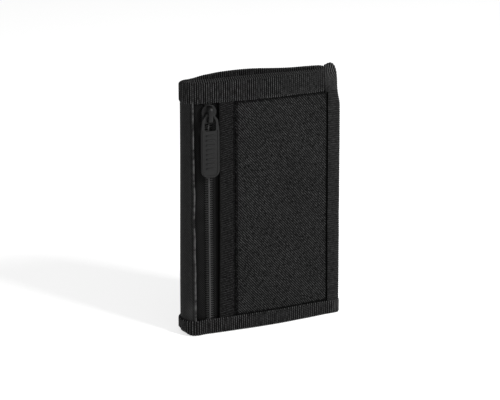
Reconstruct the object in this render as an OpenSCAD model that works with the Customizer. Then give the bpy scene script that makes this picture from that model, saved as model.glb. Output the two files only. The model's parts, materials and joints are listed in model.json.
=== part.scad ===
// Bifold wallet of woven nylon, standing closed on its lower binding.
// The spine fold is at -X, the free edges are at +X, and the zipped coin pocket is on the -Y leaf.
// Origin: middle of the whole object in X and Y, on the surface that the wallet stands on.

/* [Wallet] */
// Length of a leaf from the centre of the spine fold to its free edge
leaf_len = 75.7; // [62:0.1:100]
// Height of the wallet along its spine
wallet_h = 127; // [105:0.5:160]
// Outer radius of the round spine fold
spine_r = 7.6; // [7.2:0.1:10]
// Extra half thickness of the wallet at the middle of a leaf
belly = 1.4; // [0.6:0.1:3]
// Play between the outer binding and the inner wall's binding at the free edges
edge_play = 0.3; // [0.1:0.05:2.5]
// Radius of the outer corners at the free edges
corner_r = 4; // [2:0.5:9]

/* [Fabric] */
// Thickness of one layer of grosgrain binding tape
tape_t = 0.6; // [0.4:0.05:0.8]
// Thickness of the outer nylon shell
shell_t = 0.8; // [0.6:0.05:1]
// Thickness of the inner wall of the bill compartment
wall_t = 0.6; // [0.4:0.05:0.8]
// Thickness of the coin pocket lining
lining_t = 0.3; // [0.2:0.05:0.4]
// Visible width of the binding along the top
top_band = 10.5; // [9:0.5:14]
// Visible width of the binding along the bottom
bottom_band = 8; // [6:0.5:12]
// Visible width of the binding down the free edge
side_band = 8.4; // [6:0.1:12]
// Drop of the inner wall's top edge below the outer top edge
inner_drop = 1; // [0.5:0.1:3]

/* [Coin pocket zip] */
// Distance of the zip's centre line from the centre of the spine fold
zip_x = 3.7; // [3.4:0.1:4.2]
// Distance along the spine fold from the leaf's start to the folded edge beside the zip
fold_edge = 3.9; // [3.3:0.1:4.5]
// Distance of the facing's folded edge from the centre of the spine fold
facing_x = 8.9; // [8.6:0.1:11]
// Width of the facing strip beside the zip
facing_w = 8.3; // [6:0.1:12]
// Width of the two zip coils together
coil_w = 4.5; // [4:0.1:5]
// Thickness of the zip coils
coil_t = 1; // [0.8:0.05:1.2]
// Thickness of the woven zip tapes
zip_tape_t = 0.4; // [0.3:0.05:0.5]
// Length of the metal stops at the ends of the zip
stop_len = 2.4; // [1.6:0.1:3]
// Depth of the coin pocket lining behind the zip tapes
pocket_depth = 1.25; // [1.25:0.05:1.5]

/* [Slider and puller] */
// Width of the slider
slider_w = 8; // [7.6:0.1:8.8]
// Length of the slider
slider_len = 9.4; // [8.6:0.1:11.5]
// Thickness of the slider's front plate
plate_t = 0.8; // [0.6:0.05:0.9]
// Thickness of the slider's back plate
back_plate_t = 0.6; // [0.4:0.05:0.6]
// Width of the bridge that holds the puller
bridge_w = 2.6; // [2:0.1:3]
// Thickness of the bridge
bridge_t = 0.9; // [0.7:0.05:1.2]
// Length of the puller from its bar's top to its lower end
puller_len = 30.5; // [24:0.5:36]
// Width of the puller
puller_w = 9.4; // [8:0.1:12]
// Thickness of the puller
puller_t = 1.4; // [1.2:0.1:1.6]
// Length of the hole in the puller
hole_len = 6.2; // [6:0.1:8]

/* [Stitching] */
// Length of one visible stitch
stitch_len = 2.2; // [1.5:0.1:3]
// Gap between two stitches
stitch_gap = 0.8; // [0.5:0.1:1.5]
// Thickness of the sewing thread
thread_t = 0.3; // [0.2:0.05:0.4]
// Distance between the two rows of stitches at the facing's seam
row_pitch = 2.8; // [2:0.1:4]

/* [Inside] */
// Thickness of the identity window's frame
window_t = 0.7; // [0.5:0.05:0.75]
// Width of the identity window's border
window_border = 6; // [4:0.5:9]
// Thickness of the clear window film
film_t = 0.3; // [0.2:0.05:0.4]
// Thickness of one card pocket
pocket_t = 0.5; // [0.4:0.05:0.5]
// Step between the mouths of two neighbouring card pockets
pocket_step = 13; // [9:0.5:15]
// Height of the lowest card pocket's mouth
pocket_mouth = 68; // [50:1:70]
// Half of the gap between the two closed leaves
leaf_gap = 0.45; // [0.3:0.05:0.6]
// Play between the coin pocket's lining and the inner wall round the spine fold
spine_play = 0.4; // [0.2:0.05:0.6]
// Distance over which the inner wall runs from the spine fold to the leaf's middle plane
inner_run = 12; // [10:0.5:16]

/* [Clearances] */
// Clearance between two layers that are sewn together
lay = 0.05; // [0.03:0.01:0.08]
// Running clearance round the slider and the puller's bar
run = 0.3; // [0.25:0.05:0.35]
// Clearance between the leaves' shells and the spine's shell at each fold line
fold_gap = 0.4; // [0.3:0.05:0.6]

/* [Hidden] */

FRONT = -1;
BACK = 1;
$fn = 64;
arc_step = 7.5;  // degrees between two points of a leaf's share of the spine fold
leaf_step = 4;   // distance between two points along a leaf

// Each leaf carries 45 degrees of the spine fold, and the spine body the 90 degrees between them.
fold_end = -spine_r * 45 * PI / 180;

// Depths of the layers below the wallet's outer surface, which is that of the binding tape
shell_in = tape_t + shell_t;
coil_in = tape_t + coil_t;
zip_tape_out = coil_in + lay;
zip_tape_in = zip_tape_out + zip_tape_t;
hem_depth = zip_tape_in + lay;
plain_hem_depth = shell_in + lay;
plate_in = tape_t - run;
plate_out = plate_in - plate_t;
bar_depth = plate_out - run - puller_t / 2;
bridge_in = bar_depth - puller_t / 2 - run;
bridge_out = bridge_in - bridge_t;
back_plate_out = zip_tape_in + run;
back_plate_in = back_plate_out + back_plate_t;
lining_out = zip_tape_in + pocket_depth;
inner_r = spine_r - lining_out - lining_t - spine_play - wall_t;

// Distances of the inner walls from the middle plane
front_wall_in = leaf_gap + window_t + lay;
back_wall_in = leaf_gap + 3 * pocket_t + 3 * lay;
edge_wall_in = leaf_gap + tape_t + lay;

// Half thickness of the wallet at the free edges, from the layers that meet there
inner_edge_out = edge_wall_in + wall_t + lay + tape_t;
edge_half = inner_edge_out + edge_play + tape_t + plain_hem_depth;

// Heights
side_low = bottom_band + lay;
side_high = wallet_h - top_band - lay;
inner_top = wallet_h - inner_drop;
slider_top = wallet_h - top_band - run;
slider_low = slider_top - slider_len;
slider_mid = slider_top - slider_len / 2;
bar_z = slider_mid - 0.2;
zip_low = bottom_band + lay;

// Zip: half of the slot that the slider's post runs in
post_half = 0.4;
slot_half = post_half + run;
coil_half = coil_w / 2;

// Stations where a layer changes its depth, on the grid that all layers share
edge_taper = leaf_step * ceil((leaf_len - side_band) / leaf_step);
hem_taper = leaf_step * ceil((facing_x + facing_w / 2 + 1) / leaf_step);

// Outer surface of a leaf: half thickness of the wallet at distance s from the spine's centre
function half_at(s) =
    let (u = s / leaf_len)
    spine_r + 4 * belly * u * (1 - u) - (spine_r - edge_half) * u * u;
function slope_at(s) =
    let (u = s / leaf_len)
    (4 * belly * (1 - 2 * u) - 2 * (spine_r - edge_half) * u) / leaf_len;
zip_half = half_at(zip_x);
zip_tilt = atan(slope_at(zip_x));
tape_slot_x = zip_x + (zip_tape_out + zip_tape_in) / 2 * sin(zip_tilt);
greatest_half = spine_r + 4 * belly * belly / (4 * belly + spine_r - edge_half);

// Joint axes: each fold line is set so that the opened spine is as long as the closed arc
fold_line = PI * spine_r / 4;

// Shift from the spine's centre to the origin
front_reach = zip_half - bridge_out * cos(zip_tilt) + bridge_w / 2 * sin(zip_tilt);
shift_x = (spine_r - leaf_len) / 2;
shift_y = (front_reach - greatest_half) / 2;

// Depth functions. A depth is a radius on the spine fold (s < 0) and a Y distance on a leaf.
function smooth(t) = let (c = min(max(t, 0), 1)) c * c * (3 - 2 * c);
function skin(s, o) = (s < 0 ? spine_r : half_at(s)) - o;
function ramp(s, s0) = min(max((s - s0) / leaf_step, 0), 1);
function wall(s, base, i) =
    inner_r + (base - inner_r) * smooth(s / inner_run)
    + (edge_wall_in - base) * ramp(s, edge_taper) + i;
function hem_at(side, s) =
    side == BACK
    ? plain_hem_depth
    : hem_depth + (plain_hem_depth - hem_depth) * ramp(s, hem_taper);

// A point of a layer. On the fold it stops short of the 45 degree plane by half the fold gap.
function fold_angle(s, dep) = max(s / spine_r * 180 / PI, asin(fold_gap / 2 / dep) - 45);
function point_at(side, s, dep) =
    s < 0
    ? [dep * sin(fold_angle(s, dep)), side * dep * cos(fold_angle(s, dep))]
    : [s, side * dep];

// Stations from s0 to s1: short steps on the fold, longer ones on the leaf
function stations(s0, s1) =
    let (arc = spine_r * arc_step * PI / 180)
    concat(
        [s0],
        [for (k = [-5:-1]) if (k * arc > s0 + lay && k * arc < s1 - lay) k * arc],
        [for (k = [0:ceil(leaf_len / leaf_step)]) let (s = k * leaf_step)
            if (s > s0 + lay && s < s1 - lay) s],
        [s1]
    );

// Puts a module in the object's frame
module placed() {
    translate([shift_x, shift_y, 0]) children();
}

// A layer between two depth functions, from s0 to s1 and from z0 to z1
module layer(side, s0, s1, z0, z1, outer, inner) {
    list = stations(s0, s1);
    back_list = [for (k = [len(list) - 1:-1:0]) list[k]];
    translate([0, 0, z0])
        linear_extrude(height = z1 - z0)
            polygon(concat(
                [for (s = list) point_at(side, s, outer(s))],
                [for (s = back_list) point_at(side, s, inner(s))]
            ));
}

// The leaf's outline seen from the front, drawn in by an inset, with round corners at the free edge
module outline(inset, top = wallet_h) {
    r = corner_r - inset;
    x1 = leaf_len - inset;
    rotate([90, 0, 0])
        translate([0, 0, -2 * greatest_half])
            linear_extrude(height = 4 * greatest_half)
                union() {
                    translate([-2 * spine_r, inset])
                        square([x1 - r + 2 * spine_r, top - 2 * inset]);
                    translate([0, inset + r])
                        square([x1, top - 2 * inset - 2 * r]);
                    for (z = [inset + r, top - inset - r])
                        translate([x1 - r, z])
                            circle(r = r);
                }
}

// A binding: what lies between an outer form and the layers that it wraps
module binding(side, s0, z0, z1, outer, inner, core_outer, core_inner, top = wallet_h) {
    s1 = leaf_len;
    difference() {
        intersection() {
            layer(side, s0, s1, z0, z1, outer, inner);
            outline(0, top);
        }
        intersection() {
            layer(side, s0 - 1, s1, z0 - 1, z1 + 1, core_outer, core_inner);
            outline(tape_t, top);
        }
    }
}

// A layer of a leaf with the outline's round corners
module trimmed(side, s0, s1, z0, z1, outer, inner, top = wallet_h) {
    intersection() {
        layer(side, s0, s1, z0, z1, outer, inner);
        outline(tape_t + lay, top);
    }
}

// A curved wall round the spine fold, between two radii
module half_ring(r0, r1, z0, z1) {
    rotate([0, 0, 90])
        rotate_extrude(angle = 180)
            translate([r0, z0])
                square([r1 - r0, z1 - z0]);
}

// The spine body's share of the fold: 90 degrees less half the fold gap at each side
module spine_share() {
    apex = fold_gap / 2 * sqrt(2);
    reach = 2 * spine_r;
    intersection() {
        children();
        translate([0, 0, -1])
            linear_extrude(height = wallet_h + 2)
                polygon([[-apex, 0], [-apex - reach, reach], [-apex - reach, -reach]]);
    }
}

// A layer of the spine between two radii
module spine_wall(r0, r1, z0, z1) {
    placed() spine_share() half_ring(r0, r1, z0, z1);
}

// A binding of the spine: a channel between two radii, closed at its top or at its bottom
module spine_binding(r0, r1, z0, z1, core_z0, core_z1) {
    placed()
        spine_share()
            difference() {
                half_ring(r0, r1, z0, z1);
                half_ring(r0 + tape_t, r1 - tape_t, core_z0, core_z1);
            }
}

// The zip's own frame: X along the surface, Y into the wallet, origin on the zip's centre line
module at_zip() {
    placed()
        translate([zip_x, -zip_half, 0])
            rotate([0, 0, -zip_tilt])
                children();
}

// A block in the zip's frame
module zip_block(x0, x1, y0, y1, z0, z1) {
    translate([x0, y0, z0]) cube([x1 - x0, y1 - y0, z1 - z0]);
}

// ---------------------------------------------------------------- front leaf, outer shell

module front_panel() {
    color([0.15, 0.15, 0.16])
        placed()
            trimmed(FRONT, facing_x + facing_w + lay, leaf_len, 0, wallet_h,
                function(s) skin(s, tape_t + lay), function(s) skin(s, shell_in));
}

module zip_facing() {
    color([0.13, 0.13, 0.14])
        placed()
            layer(FRONT, facing_x, facing_x + facing_w, tape_t + lay, wallet_h - tape_t - lay,
                function(s) skin(s, tape_t + lay), function(s) skin(s, shell_in));
}

module spine_side_facing() {
    color([0.15, 0.15, 0.16])
        placed()
            layer(FRONT, fold_end, -fold_edge, tape_t + lay, wallet_h - tape_t - lay,
                function(s) skin(s, tape_t + lay), function(s) skin(s, shell_in));
}

module facing_topstitch() {
    seam = facing_x + facing_w;
    pitch = stitch_len + stitch_gap;
    count = floor((side_high - side_low - stitch_gap) / pitch);
    start = (side_low + side_high - count * pitch + stitch_gap) / 2;
    color([0.1, 0.1, 0.1])
        placed()
            for (x = [seam - row_pitch / 2, seam + row_pitch / 2], k = [0:count - 1])
                translate([x, -(half_at(x) - tape_t), start + k * pitch])
                    rotate([0, 0, -atan(slope_at(x))])
                        translate([-thread_t / 2, -thread_t, 0])
                            cube([thread_t, thread_t + lay, stitch_len]);
}

module front_edge_tape() {
    color([0.17, 0.17, 0.18])
        placed()
            binding(FRONT, leaf_len - side_band, side_low, side_high,
                function(s) skin(s, 0),
                function(s) wall(s, front_wall_in, -tape_t - lay),
                function(s) skin(s, tape_t),
                function(s) wall(s, front_wall_in, -lay));
}

module outer_top_tape(side) {
    placed()
        binding(side, fold_end, wallet_h - top_band, wallet_h,
            function(s) skin(s, 0),
            function(s) skin(s, hem_at(side, s) + tape_t),
            function(s) skin(s, tape_t),
            function(s) skin(s, hem_at(side, s)));
}

module front_top_tape() {
    color([0.16, 0.16, 0.17]) outer_top_tape(FRONT);
}

module bottom_tape(side, wall_in) {
    placed()
        binding(side, fold_end, 0, bottom_band,
            function(s) skin(s, 0),
            function(s) wall(s, wall_in, -tape_t - lay),
            function(s) skin(s, tape_t),
            function(s) wall(s, wall_in, -lay));
}

module front_bottom_tape() {
    color([0.16, 0.16, 0.17]) bottom_tape(FRONT, front_wall_in);
}

// ---------------------------------------------------------------- coin pocket and zip

module zip_tape(s0, s1) {
    color([0.1, 0.1, 0.1])
        placed()
            layer(FRONT, s0, s1, tape_t + lay, wallet_h - tape_t - lay,
                function(s) skin(s, zip_tape_out + lay), function(s) skin(s, zip_tape_in));
}

module zip_tape_left() {
    zip_tape(fold_end, tape_slot_x - slot_half);
}

module zip_tape_right() {
    zip_tape(tape_slot_x + slot_half, facing_x + facing_w / 2);
}

module zip_coil(side) {
    inner = slot_half;
    x0 = side < 0 ? -coil_half : inner;
    x1 = side < 0 ? -inner : coil_half;
    color([0.2, 0.2, 0.2])
        at_zip()
            zip_block(x0, x1, tape_t, coil_in, zip_low, wallet_h - top_band);
}

module zip_coil_left() {
    zip_coil(-1);
}

module zip_coil_right() {
    zip_coil(1);
}

module zip_top_stops() {
    z0 = wallet_h - top_band + lay;
    color([0.25, 0.25, 0.25])
        at_zip()
            for (side = [-1, 1])
                zip_block(side < 0 ? -coil_half : slot_half, side < 0 ? -slot_half : coil_half,
                    tape_t + 2 * lay, coil_in, z0, z0 + stop_len);
}

module zip_bottom_stop() {
    z1 = bottom_band - lay;
    color([0.25, 0.25, 0.25])
        at_zip()
            difference() {
                zip_block(-coil_half, coil_half, tape_t + 2 * lay, coil_in, z1 - stop_len, z1);
                zip_block(-slot_half, slot_half, coil_in - coil_t / 2, coil_in + 1,
                    z1 - stop_len - 1, z1 + 1);
            }
}

// Depth of the coin pocket's lining: held behind the zip tape at one side and the shell at the other
function lining_at(s) =
    let (rise = smooth((s + fold_edge + 1) / 3), fall = smooth((leaf_len - side_band - s) / 8))
    shell_in + lay
    + (zip_tape_in - shell_in) * (s < facing_x + facing_w / 2 ? 1 : rise * fall)
    + (lining_out - zip_tape_in) * rise * fall;

module coin_pocket_lining() {
    color([0.12, 0.12, 0.13])
        placed()
            layer(FRONT, fold_end, leaf_len - side_band + 3, side_low, side_high,
                function(s) skin(s, lining_at(s)),
                function(s) skin(s, lining_at(s) + lining_t));
}

module zip_slider() {
    head_r = slider_w / 2;
    head_z = slider_top - head_r;
    tail_w = slider_w - 1.2;
    flange_x = coil_half + run;
    color([0.2, 0.2, 0.21])
        at_zip()
            union() {
                // Front plate: a round head with a narrower tail
                translate([0, plate_in, 0])
                    rotate([90, 0, 0])
                        linear_extrude(height = plate_t)
                            union() {
                                translate([0, head_z]) circle(r = head_r);
                                translate([-tail_w / 2, slider_low])
                                    square([tail_w, head_z - slider_low]);
                            }
                // Side flanges along the coils
                for (side = [-1, 1])
                    zip_block(side < 0 ? -tail_w / 2 : flange_x, side < 0 ? -flange_x : tail_w / 2,
                        plate_in, zip_tape_out - run, slider_low, head_z);
                // Post between the coils and back plate behind the tapes
                zip_block(-post_half, post_half, plate_in, back_plate_out, head_z - 1, head_z + 2);
                zip_block(-tail_w / 2, tail_w / 2, back_plate_out, back_plate_in,
                    slider_low, head_z + 2);
                bridge();
            }
}

// Bridge: an arch over the puller's bar, with both feet on the front plate
module bridge() {
    foot = 1.8;
    half_span = (slider_len - 1.8) / 2;
    round_r = bridge_t + 0.6;
    rise = plate_out - bridge_out;
    translate([-bridge_w / 2, 0, 0])
        rotate([90, 0, 90])
            linear_extrude(height = bridge_w)
                difference() {
                    union() {
                        translate([bridge_out + round_r, slider_mid - half_span])
                            square([rise - round_r, 2 * half_span]);
                        translate([bridge_out, slider_mid - half_span + round_r])
                            square([rise, 2 * (half_span - round_r)]);
                        for (z = [-1, 1])
                            translate([bridge_out + round_r, slider_mid + z * (half_span - round_r)])
                                circle(r = round_r);
                    }
                    translate([bridge_in, slider_mid - half_span + foot])
                        square([plate_out - bridge_in, 2 * (half_span - foot)]);
                }
}

module zip_puller() {
    bar_r = puller_t / 2;
    end_r = 3.4;
    bar_half = bridge_w / 2 + run + 1.1;
    shoulder_z = -hole_len * 0.55;
    full_z = -hole_len - 2.5;
    low_z = bar_r - puller_len;
    hole_half = bridge_w / 2 + run + 0.1;
    hole_low_half = puller_w / 2 - 1.9;
    color([0.3, 0.3, 0.31])
        at_zip()
            translate([0, bar_depth, bar_z])
                difference() {
                    union() {
                        // The bar's round end
                        translate([-bar_half, 0, 0])
                            rotate([0, 90, 0])
                                cylinder(r = bar_r, h = 2 * bar_half);
                        translate([0, puller_t / 2, 0])
                            rotate([90, 0, 0])
                                linear_extrude(height = puller_t)
                                    union() {
                                        polygon([
                                            [-bar_half, 0], [bar_half, 0],
                                            [puller_w / 2 - 0.7, shoulder_z],
                                            [puller_w / 2, full_z], [puller_w / 2, low_z + end_r],
                                            [puller_w / 2 - end_r, low_z],
                                            [end_r - puller_w / 2, low_z],
                                            [-puller_w / 2, low_z + end_r], [-puller_w / 2, full_z],
                                            [0.7 - puller_w / 2, shoulder_z],
                                        ]);
                                        for (x = [-1, 1])
                                            translate([x * (puller_w / 2 - end_r), low_z + end_r])
                                                circle(r = end_r);
                                    }
                    }
                    // Hole that the bridge's foot passes through
                    translate([0, puller_t, 0])
                        rotate([90, 0, 0])
                            linear_extrude(height = 2 * puller_t)
                                polygon([
                                    [-hole_half, -bar_r], [hole_half, -bar_r],
                                    [hole_low_half, shoulder_z], [hole_low_half, -bar_r - hole_len],
                                    [-hole_low_half, -bar_r - hole_len], [-hole_low_half, shoulder_z],
                                ]);
                }
}

// ---------------------------------------------------------------- front leaf, inside

module inner_wall(side, wall_in) {
    placed()
        intersection() {
            layer(side, fold_end, leaf_len - tape_t - lay, tape_t + lay, inner_top - tape_t - lay,
                function(s) wall(s, wall_in, wall_t), function(s) wall(s, wall_in, 0));
            outline(tape_t + lay, inner_top);
        }
}

module front_inner_wall() {
    color([0.11, 0.11, 0.12]) inner_wall(FRONT, front_wall_in);
}

module inner_top_tape(side, wall_in) {
    placed()
        binding(side, fold_end, wallet_h - top_band, inner_top,
            function(s) wall(s, wall_in, wall_t + tape_t + lay),
            function(s) wall(s, wall_in, -tape_t - lay),
            function(s) wall(s, wall_in, wall_t + lay),
            function(s) wall(s, wall_in, -lay), inner_top);
}

module front_inner_top_tape() {
    color([0.18, 0.18, 0.19]) inner_top_tape(FRONT, front_wall_in);
}

// The field inside the bindings, where the identity window and the card pockets are sewn
field_x0 = inner_run + 0.5;
field_x1 = leaf_len - side_band - run;
field_z0 = bottom_band + run;
field_z1 = wallet_h - top_band - run;

// A flat sheet against an inner wall, between two distances from the middle plane
module sheet(side, x0, x1, y0, y1, z0, z1) {
    translate([x0, side < 0 ? -y1 : y0, z0])
        cube([x1 - x0, y1 - y0, z1 - z0]);
}

module id_window_frame() {
    b = window_border;
    color([0.14, 0.14, 0.15])
        placed()
            difference() {
                sheet(FRONT, field_x0, field_x1, leaf_gap, leaf_gap + window_t, field_z0, field_z1);
                sheet(FRONT, field_x0 + b, field_x1 - b, leaf_gap - 1, leaf_gap + window_t + 1,
                    field_z0 + b, field_z1 - b);
            }
}

module id_window_film() {
    b = window_border + lay;
    color([0.8, 0.85, 0.9, 0.4])
        placed()
            sheet(FRONT, field_x0 + b, field_x1 - b,
                leaf_gap + window_t - film_t, leaf_gap + window_t, field_z0 + b, field_z1 - b);
}

// ---------------------------------------------------------------- spine

module spine_panel() {
    color([0.15, 0.15, 0.16])
        spine_wall(spine_r - shell_in, spine_r - tape_t - lay,
            tape_t + lay, wallet_h - tape_t - lay);
}

module spine_inner_wall() {
    color([0.11, 0.11, 0.12])
        spine_wall(inner_r, inner_r + wall_t, tape_t + lay, inner_top - tape_t - lay);
}

module spine_top_tape() {
    low = wallet_h - top_band;
    color([0.16, 0.16, 0.17])
        spine_binding(spine_r - plain_hem_depth - tape_t, spine_r, low, wallet_h,
            low - 1, wallet_h - tape_t);
}

module spine_bottom_tape() {
    color([0.16, 0.16, 0.17])
        spine_binding(inner_r - tape_t - lay, spine_r, 0, bottom_band, tape_t, bottom_band + 1);
}

module spine_inner_top_tape() {
    low = wallet_h - top_band;
    color([0.18, 0.18, 0.19])
        spine_binding(inner_r - tape_t - lay, inner_r + wall_t + tape_t + lay, low, inner_top,
            low - 1, inner_top - tape_t);
}

// ---------------------------------------------------------------- back leaf

module back_panel() {
    color([0.15, 0.15, 0.16])
        placed()
            trimmed(BACK, fold_end, leaf_len, 0, wallet_h,
                function(s) skin(s, tape_t + lay), function(s) skin(s, shell_in));
}

module back_edge_tape() {
    color([0.17, 0.17, 0.18])
        placed()
            binding(BACK, leaf_len - side_band, side_low, side_high,
                function(s) skin(s, 0),
                function(s) wall(s, back_wall_in, -tape_t - lay),
                function(s) skin(s, tape_t),
                function(s) wall(s, back_wall_in, -lay));
}

module back_top_tape() {
    color([0.16, 0.16, 0.17]) outer_top_tape(BACK);
}

module back_bottom_tape() {
    color([0.16, 0.16, 0.17]) bottom_tape(BACK, back_wall_in);
}

module back_inner_wall() {
    color([0.11, 0.11, 0.12]) inner_wall(BACK, back_wall_in);
}

module back_inner_top_tape() {
    color([0.18, 0.18, 0.19]) inner_top_tape(BACK, back_wall_in);
}

// Card pockets, counted from the inner wall: each one lies over the last and its mouth is lower
module card_pocket(k) {
    y1 = back_wall_in - k * (pocket_t + lay) - lay;
    color([0.14 + 0.02 * k, 0.14 + 0.02 * k, 0.15 + 0.02 * k])
        placed()
            sheet(BACK, field_x0, field_x1, y1 - pocket_t, y1, field_z0,
                pocket_mouth + (2 - k) * pocket_step);
}

module card_pocket_rear() {
    card_pocket(0);
}

module card_pocket_middle() {
    card_pocket(1);
}

module card_pocket_front() {
    card_pocket(2);
}

front_panel();
zip_facing();
spine_side_facing();
facing_topstitch();
front_edge_tape();
front_top_tape();
front_bottom_tape();
zip_tape_left();
zip_tape_right();
zip_coil_left();
zip_coil_right();
zip_top_stops();
zip_bottom_stop();
coin_pocket_lining();
front_inner_wall();
front_inner_top_tape();
id_window_frame();
id_window_film();
zip_slider();
zip_puller();
spine_panel();
spine_inner_wall();
spine_top_tape();
spine_bottom_tape();
spine_inner_top_tape();
back_panel();
back_edge_tape();
back_top_tape();
back_bottom_tape();
back_inner_wall();
back_inner_top_tape();
card_pocket_rear();
card_pocket_middle();
card_pocket_front();
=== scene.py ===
"""Looks of a bifold wallet of woven nylon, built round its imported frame.

The wallet stands closed on its lower binding. Each class below builds one sub-assembly: the outer
shells, the bindings, the coin pocket with its zip, the slider and puller, the bill compartment's
inner walls, the identity window and the card pockets. Lengths inside the classes are in
millimetres, in the wallet's own plan: s runs from the middle of the spine fold (negative) over the
leaf to its free edge, out is the distance from the middle plane, and z is the height.
"""

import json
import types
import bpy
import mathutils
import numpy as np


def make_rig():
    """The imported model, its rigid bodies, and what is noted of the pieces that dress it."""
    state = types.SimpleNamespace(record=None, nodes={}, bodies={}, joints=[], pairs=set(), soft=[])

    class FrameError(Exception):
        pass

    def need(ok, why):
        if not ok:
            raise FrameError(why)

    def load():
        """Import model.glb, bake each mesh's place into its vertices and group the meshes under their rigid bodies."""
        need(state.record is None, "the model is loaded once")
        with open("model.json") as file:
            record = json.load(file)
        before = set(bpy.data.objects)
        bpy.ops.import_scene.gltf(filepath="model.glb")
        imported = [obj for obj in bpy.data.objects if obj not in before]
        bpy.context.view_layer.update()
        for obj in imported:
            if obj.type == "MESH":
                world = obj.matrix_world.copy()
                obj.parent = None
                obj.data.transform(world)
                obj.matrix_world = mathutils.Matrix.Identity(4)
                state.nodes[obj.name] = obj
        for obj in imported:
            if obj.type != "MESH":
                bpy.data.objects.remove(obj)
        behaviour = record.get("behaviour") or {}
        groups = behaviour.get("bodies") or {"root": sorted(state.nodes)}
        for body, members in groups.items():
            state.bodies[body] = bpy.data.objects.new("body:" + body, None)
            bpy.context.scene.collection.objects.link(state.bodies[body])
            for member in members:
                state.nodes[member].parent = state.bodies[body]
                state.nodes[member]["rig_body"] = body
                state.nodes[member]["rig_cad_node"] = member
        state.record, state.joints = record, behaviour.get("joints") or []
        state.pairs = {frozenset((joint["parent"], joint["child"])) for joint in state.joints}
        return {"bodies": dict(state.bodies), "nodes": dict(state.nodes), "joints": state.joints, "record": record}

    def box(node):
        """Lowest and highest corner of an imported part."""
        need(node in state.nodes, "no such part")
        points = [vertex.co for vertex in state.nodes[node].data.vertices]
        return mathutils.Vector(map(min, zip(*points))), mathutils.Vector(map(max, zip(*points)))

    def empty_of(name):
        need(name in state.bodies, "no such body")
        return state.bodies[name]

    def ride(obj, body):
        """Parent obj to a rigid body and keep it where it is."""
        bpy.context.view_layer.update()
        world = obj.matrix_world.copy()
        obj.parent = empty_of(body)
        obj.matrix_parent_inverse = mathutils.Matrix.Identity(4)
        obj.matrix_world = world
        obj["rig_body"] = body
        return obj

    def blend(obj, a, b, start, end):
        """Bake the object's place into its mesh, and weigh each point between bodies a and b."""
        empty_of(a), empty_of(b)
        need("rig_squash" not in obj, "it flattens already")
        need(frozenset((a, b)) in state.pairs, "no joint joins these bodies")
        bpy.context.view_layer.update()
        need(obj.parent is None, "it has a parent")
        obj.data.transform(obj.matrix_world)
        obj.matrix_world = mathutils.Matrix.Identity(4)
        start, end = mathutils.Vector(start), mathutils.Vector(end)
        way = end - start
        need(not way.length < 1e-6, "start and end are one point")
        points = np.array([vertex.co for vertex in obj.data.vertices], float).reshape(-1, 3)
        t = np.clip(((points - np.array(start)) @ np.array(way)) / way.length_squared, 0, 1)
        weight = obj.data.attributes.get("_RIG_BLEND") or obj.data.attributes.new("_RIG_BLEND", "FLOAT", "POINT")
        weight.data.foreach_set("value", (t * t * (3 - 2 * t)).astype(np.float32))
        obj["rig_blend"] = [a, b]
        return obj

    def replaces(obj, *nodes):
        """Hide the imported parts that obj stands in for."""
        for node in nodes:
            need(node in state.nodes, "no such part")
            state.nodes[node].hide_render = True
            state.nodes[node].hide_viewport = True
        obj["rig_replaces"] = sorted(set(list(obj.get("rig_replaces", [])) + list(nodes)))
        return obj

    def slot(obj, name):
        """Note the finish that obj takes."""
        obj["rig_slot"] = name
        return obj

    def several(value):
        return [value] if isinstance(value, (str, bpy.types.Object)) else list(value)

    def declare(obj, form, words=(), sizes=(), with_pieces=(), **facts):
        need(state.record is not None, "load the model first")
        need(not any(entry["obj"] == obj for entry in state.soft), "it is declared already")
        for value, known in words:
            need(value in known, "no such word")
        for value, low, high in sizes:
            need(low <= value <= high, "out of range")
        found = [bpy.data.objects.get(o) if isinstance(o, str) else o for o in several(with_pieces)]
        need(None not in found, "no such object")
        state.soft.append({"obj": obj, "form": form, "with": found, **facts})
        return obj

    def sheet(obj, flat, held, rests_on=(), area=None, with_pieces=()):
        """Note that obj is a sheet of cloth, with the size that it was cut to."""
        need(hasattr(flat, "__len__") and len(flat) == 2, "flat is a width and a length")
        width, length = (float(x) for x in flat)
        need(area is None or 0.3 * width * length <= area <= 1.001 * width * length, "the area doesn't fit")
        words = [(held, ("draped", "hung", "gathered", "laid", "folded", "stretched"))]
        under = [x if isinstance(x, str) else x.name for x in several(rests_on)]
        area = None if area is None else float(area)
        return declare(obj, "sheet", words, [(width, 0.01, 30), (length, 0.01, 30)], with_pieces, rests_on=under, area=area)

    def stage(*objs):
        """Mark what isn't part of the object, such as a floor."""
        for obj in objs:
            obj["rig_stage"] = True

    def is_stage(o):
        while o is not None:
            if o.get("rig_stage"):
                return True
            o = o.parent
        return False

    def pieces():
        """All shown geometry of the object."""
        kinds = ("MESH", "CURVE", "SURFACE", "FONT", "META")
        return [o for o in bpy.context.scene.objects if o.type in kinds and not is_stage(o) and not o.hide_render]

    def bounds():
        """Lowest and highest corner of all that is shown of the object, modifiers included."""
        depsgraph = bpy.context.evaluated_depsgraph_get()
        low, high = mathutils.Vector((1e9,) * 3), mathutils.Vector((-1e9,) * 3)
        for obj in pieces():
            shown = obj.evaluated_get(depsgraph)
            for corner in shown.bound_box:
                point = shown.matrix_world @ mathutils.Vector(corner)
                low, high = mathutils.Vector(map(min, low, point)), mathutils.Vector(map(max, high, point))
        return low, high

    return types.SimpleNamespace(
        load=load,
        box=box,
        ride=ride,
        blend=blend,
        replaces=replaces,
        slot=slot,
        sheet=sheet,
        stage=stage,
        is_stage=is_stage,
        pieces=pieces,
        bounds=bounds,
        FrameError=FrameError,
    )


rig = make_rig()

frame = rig.load()
CAD_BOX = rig.bounds()

import json
import logging
import math
from collections.abc import Callable, Sequence
from dataclasses import dataclass
from enum import Enum

import bmesh
import bpy
from mathutils import Matrix, Vector, noise

MM = 0.001
SIZE_FILE = "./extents.json"
log = logging.getLogger("wallet")

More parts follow.
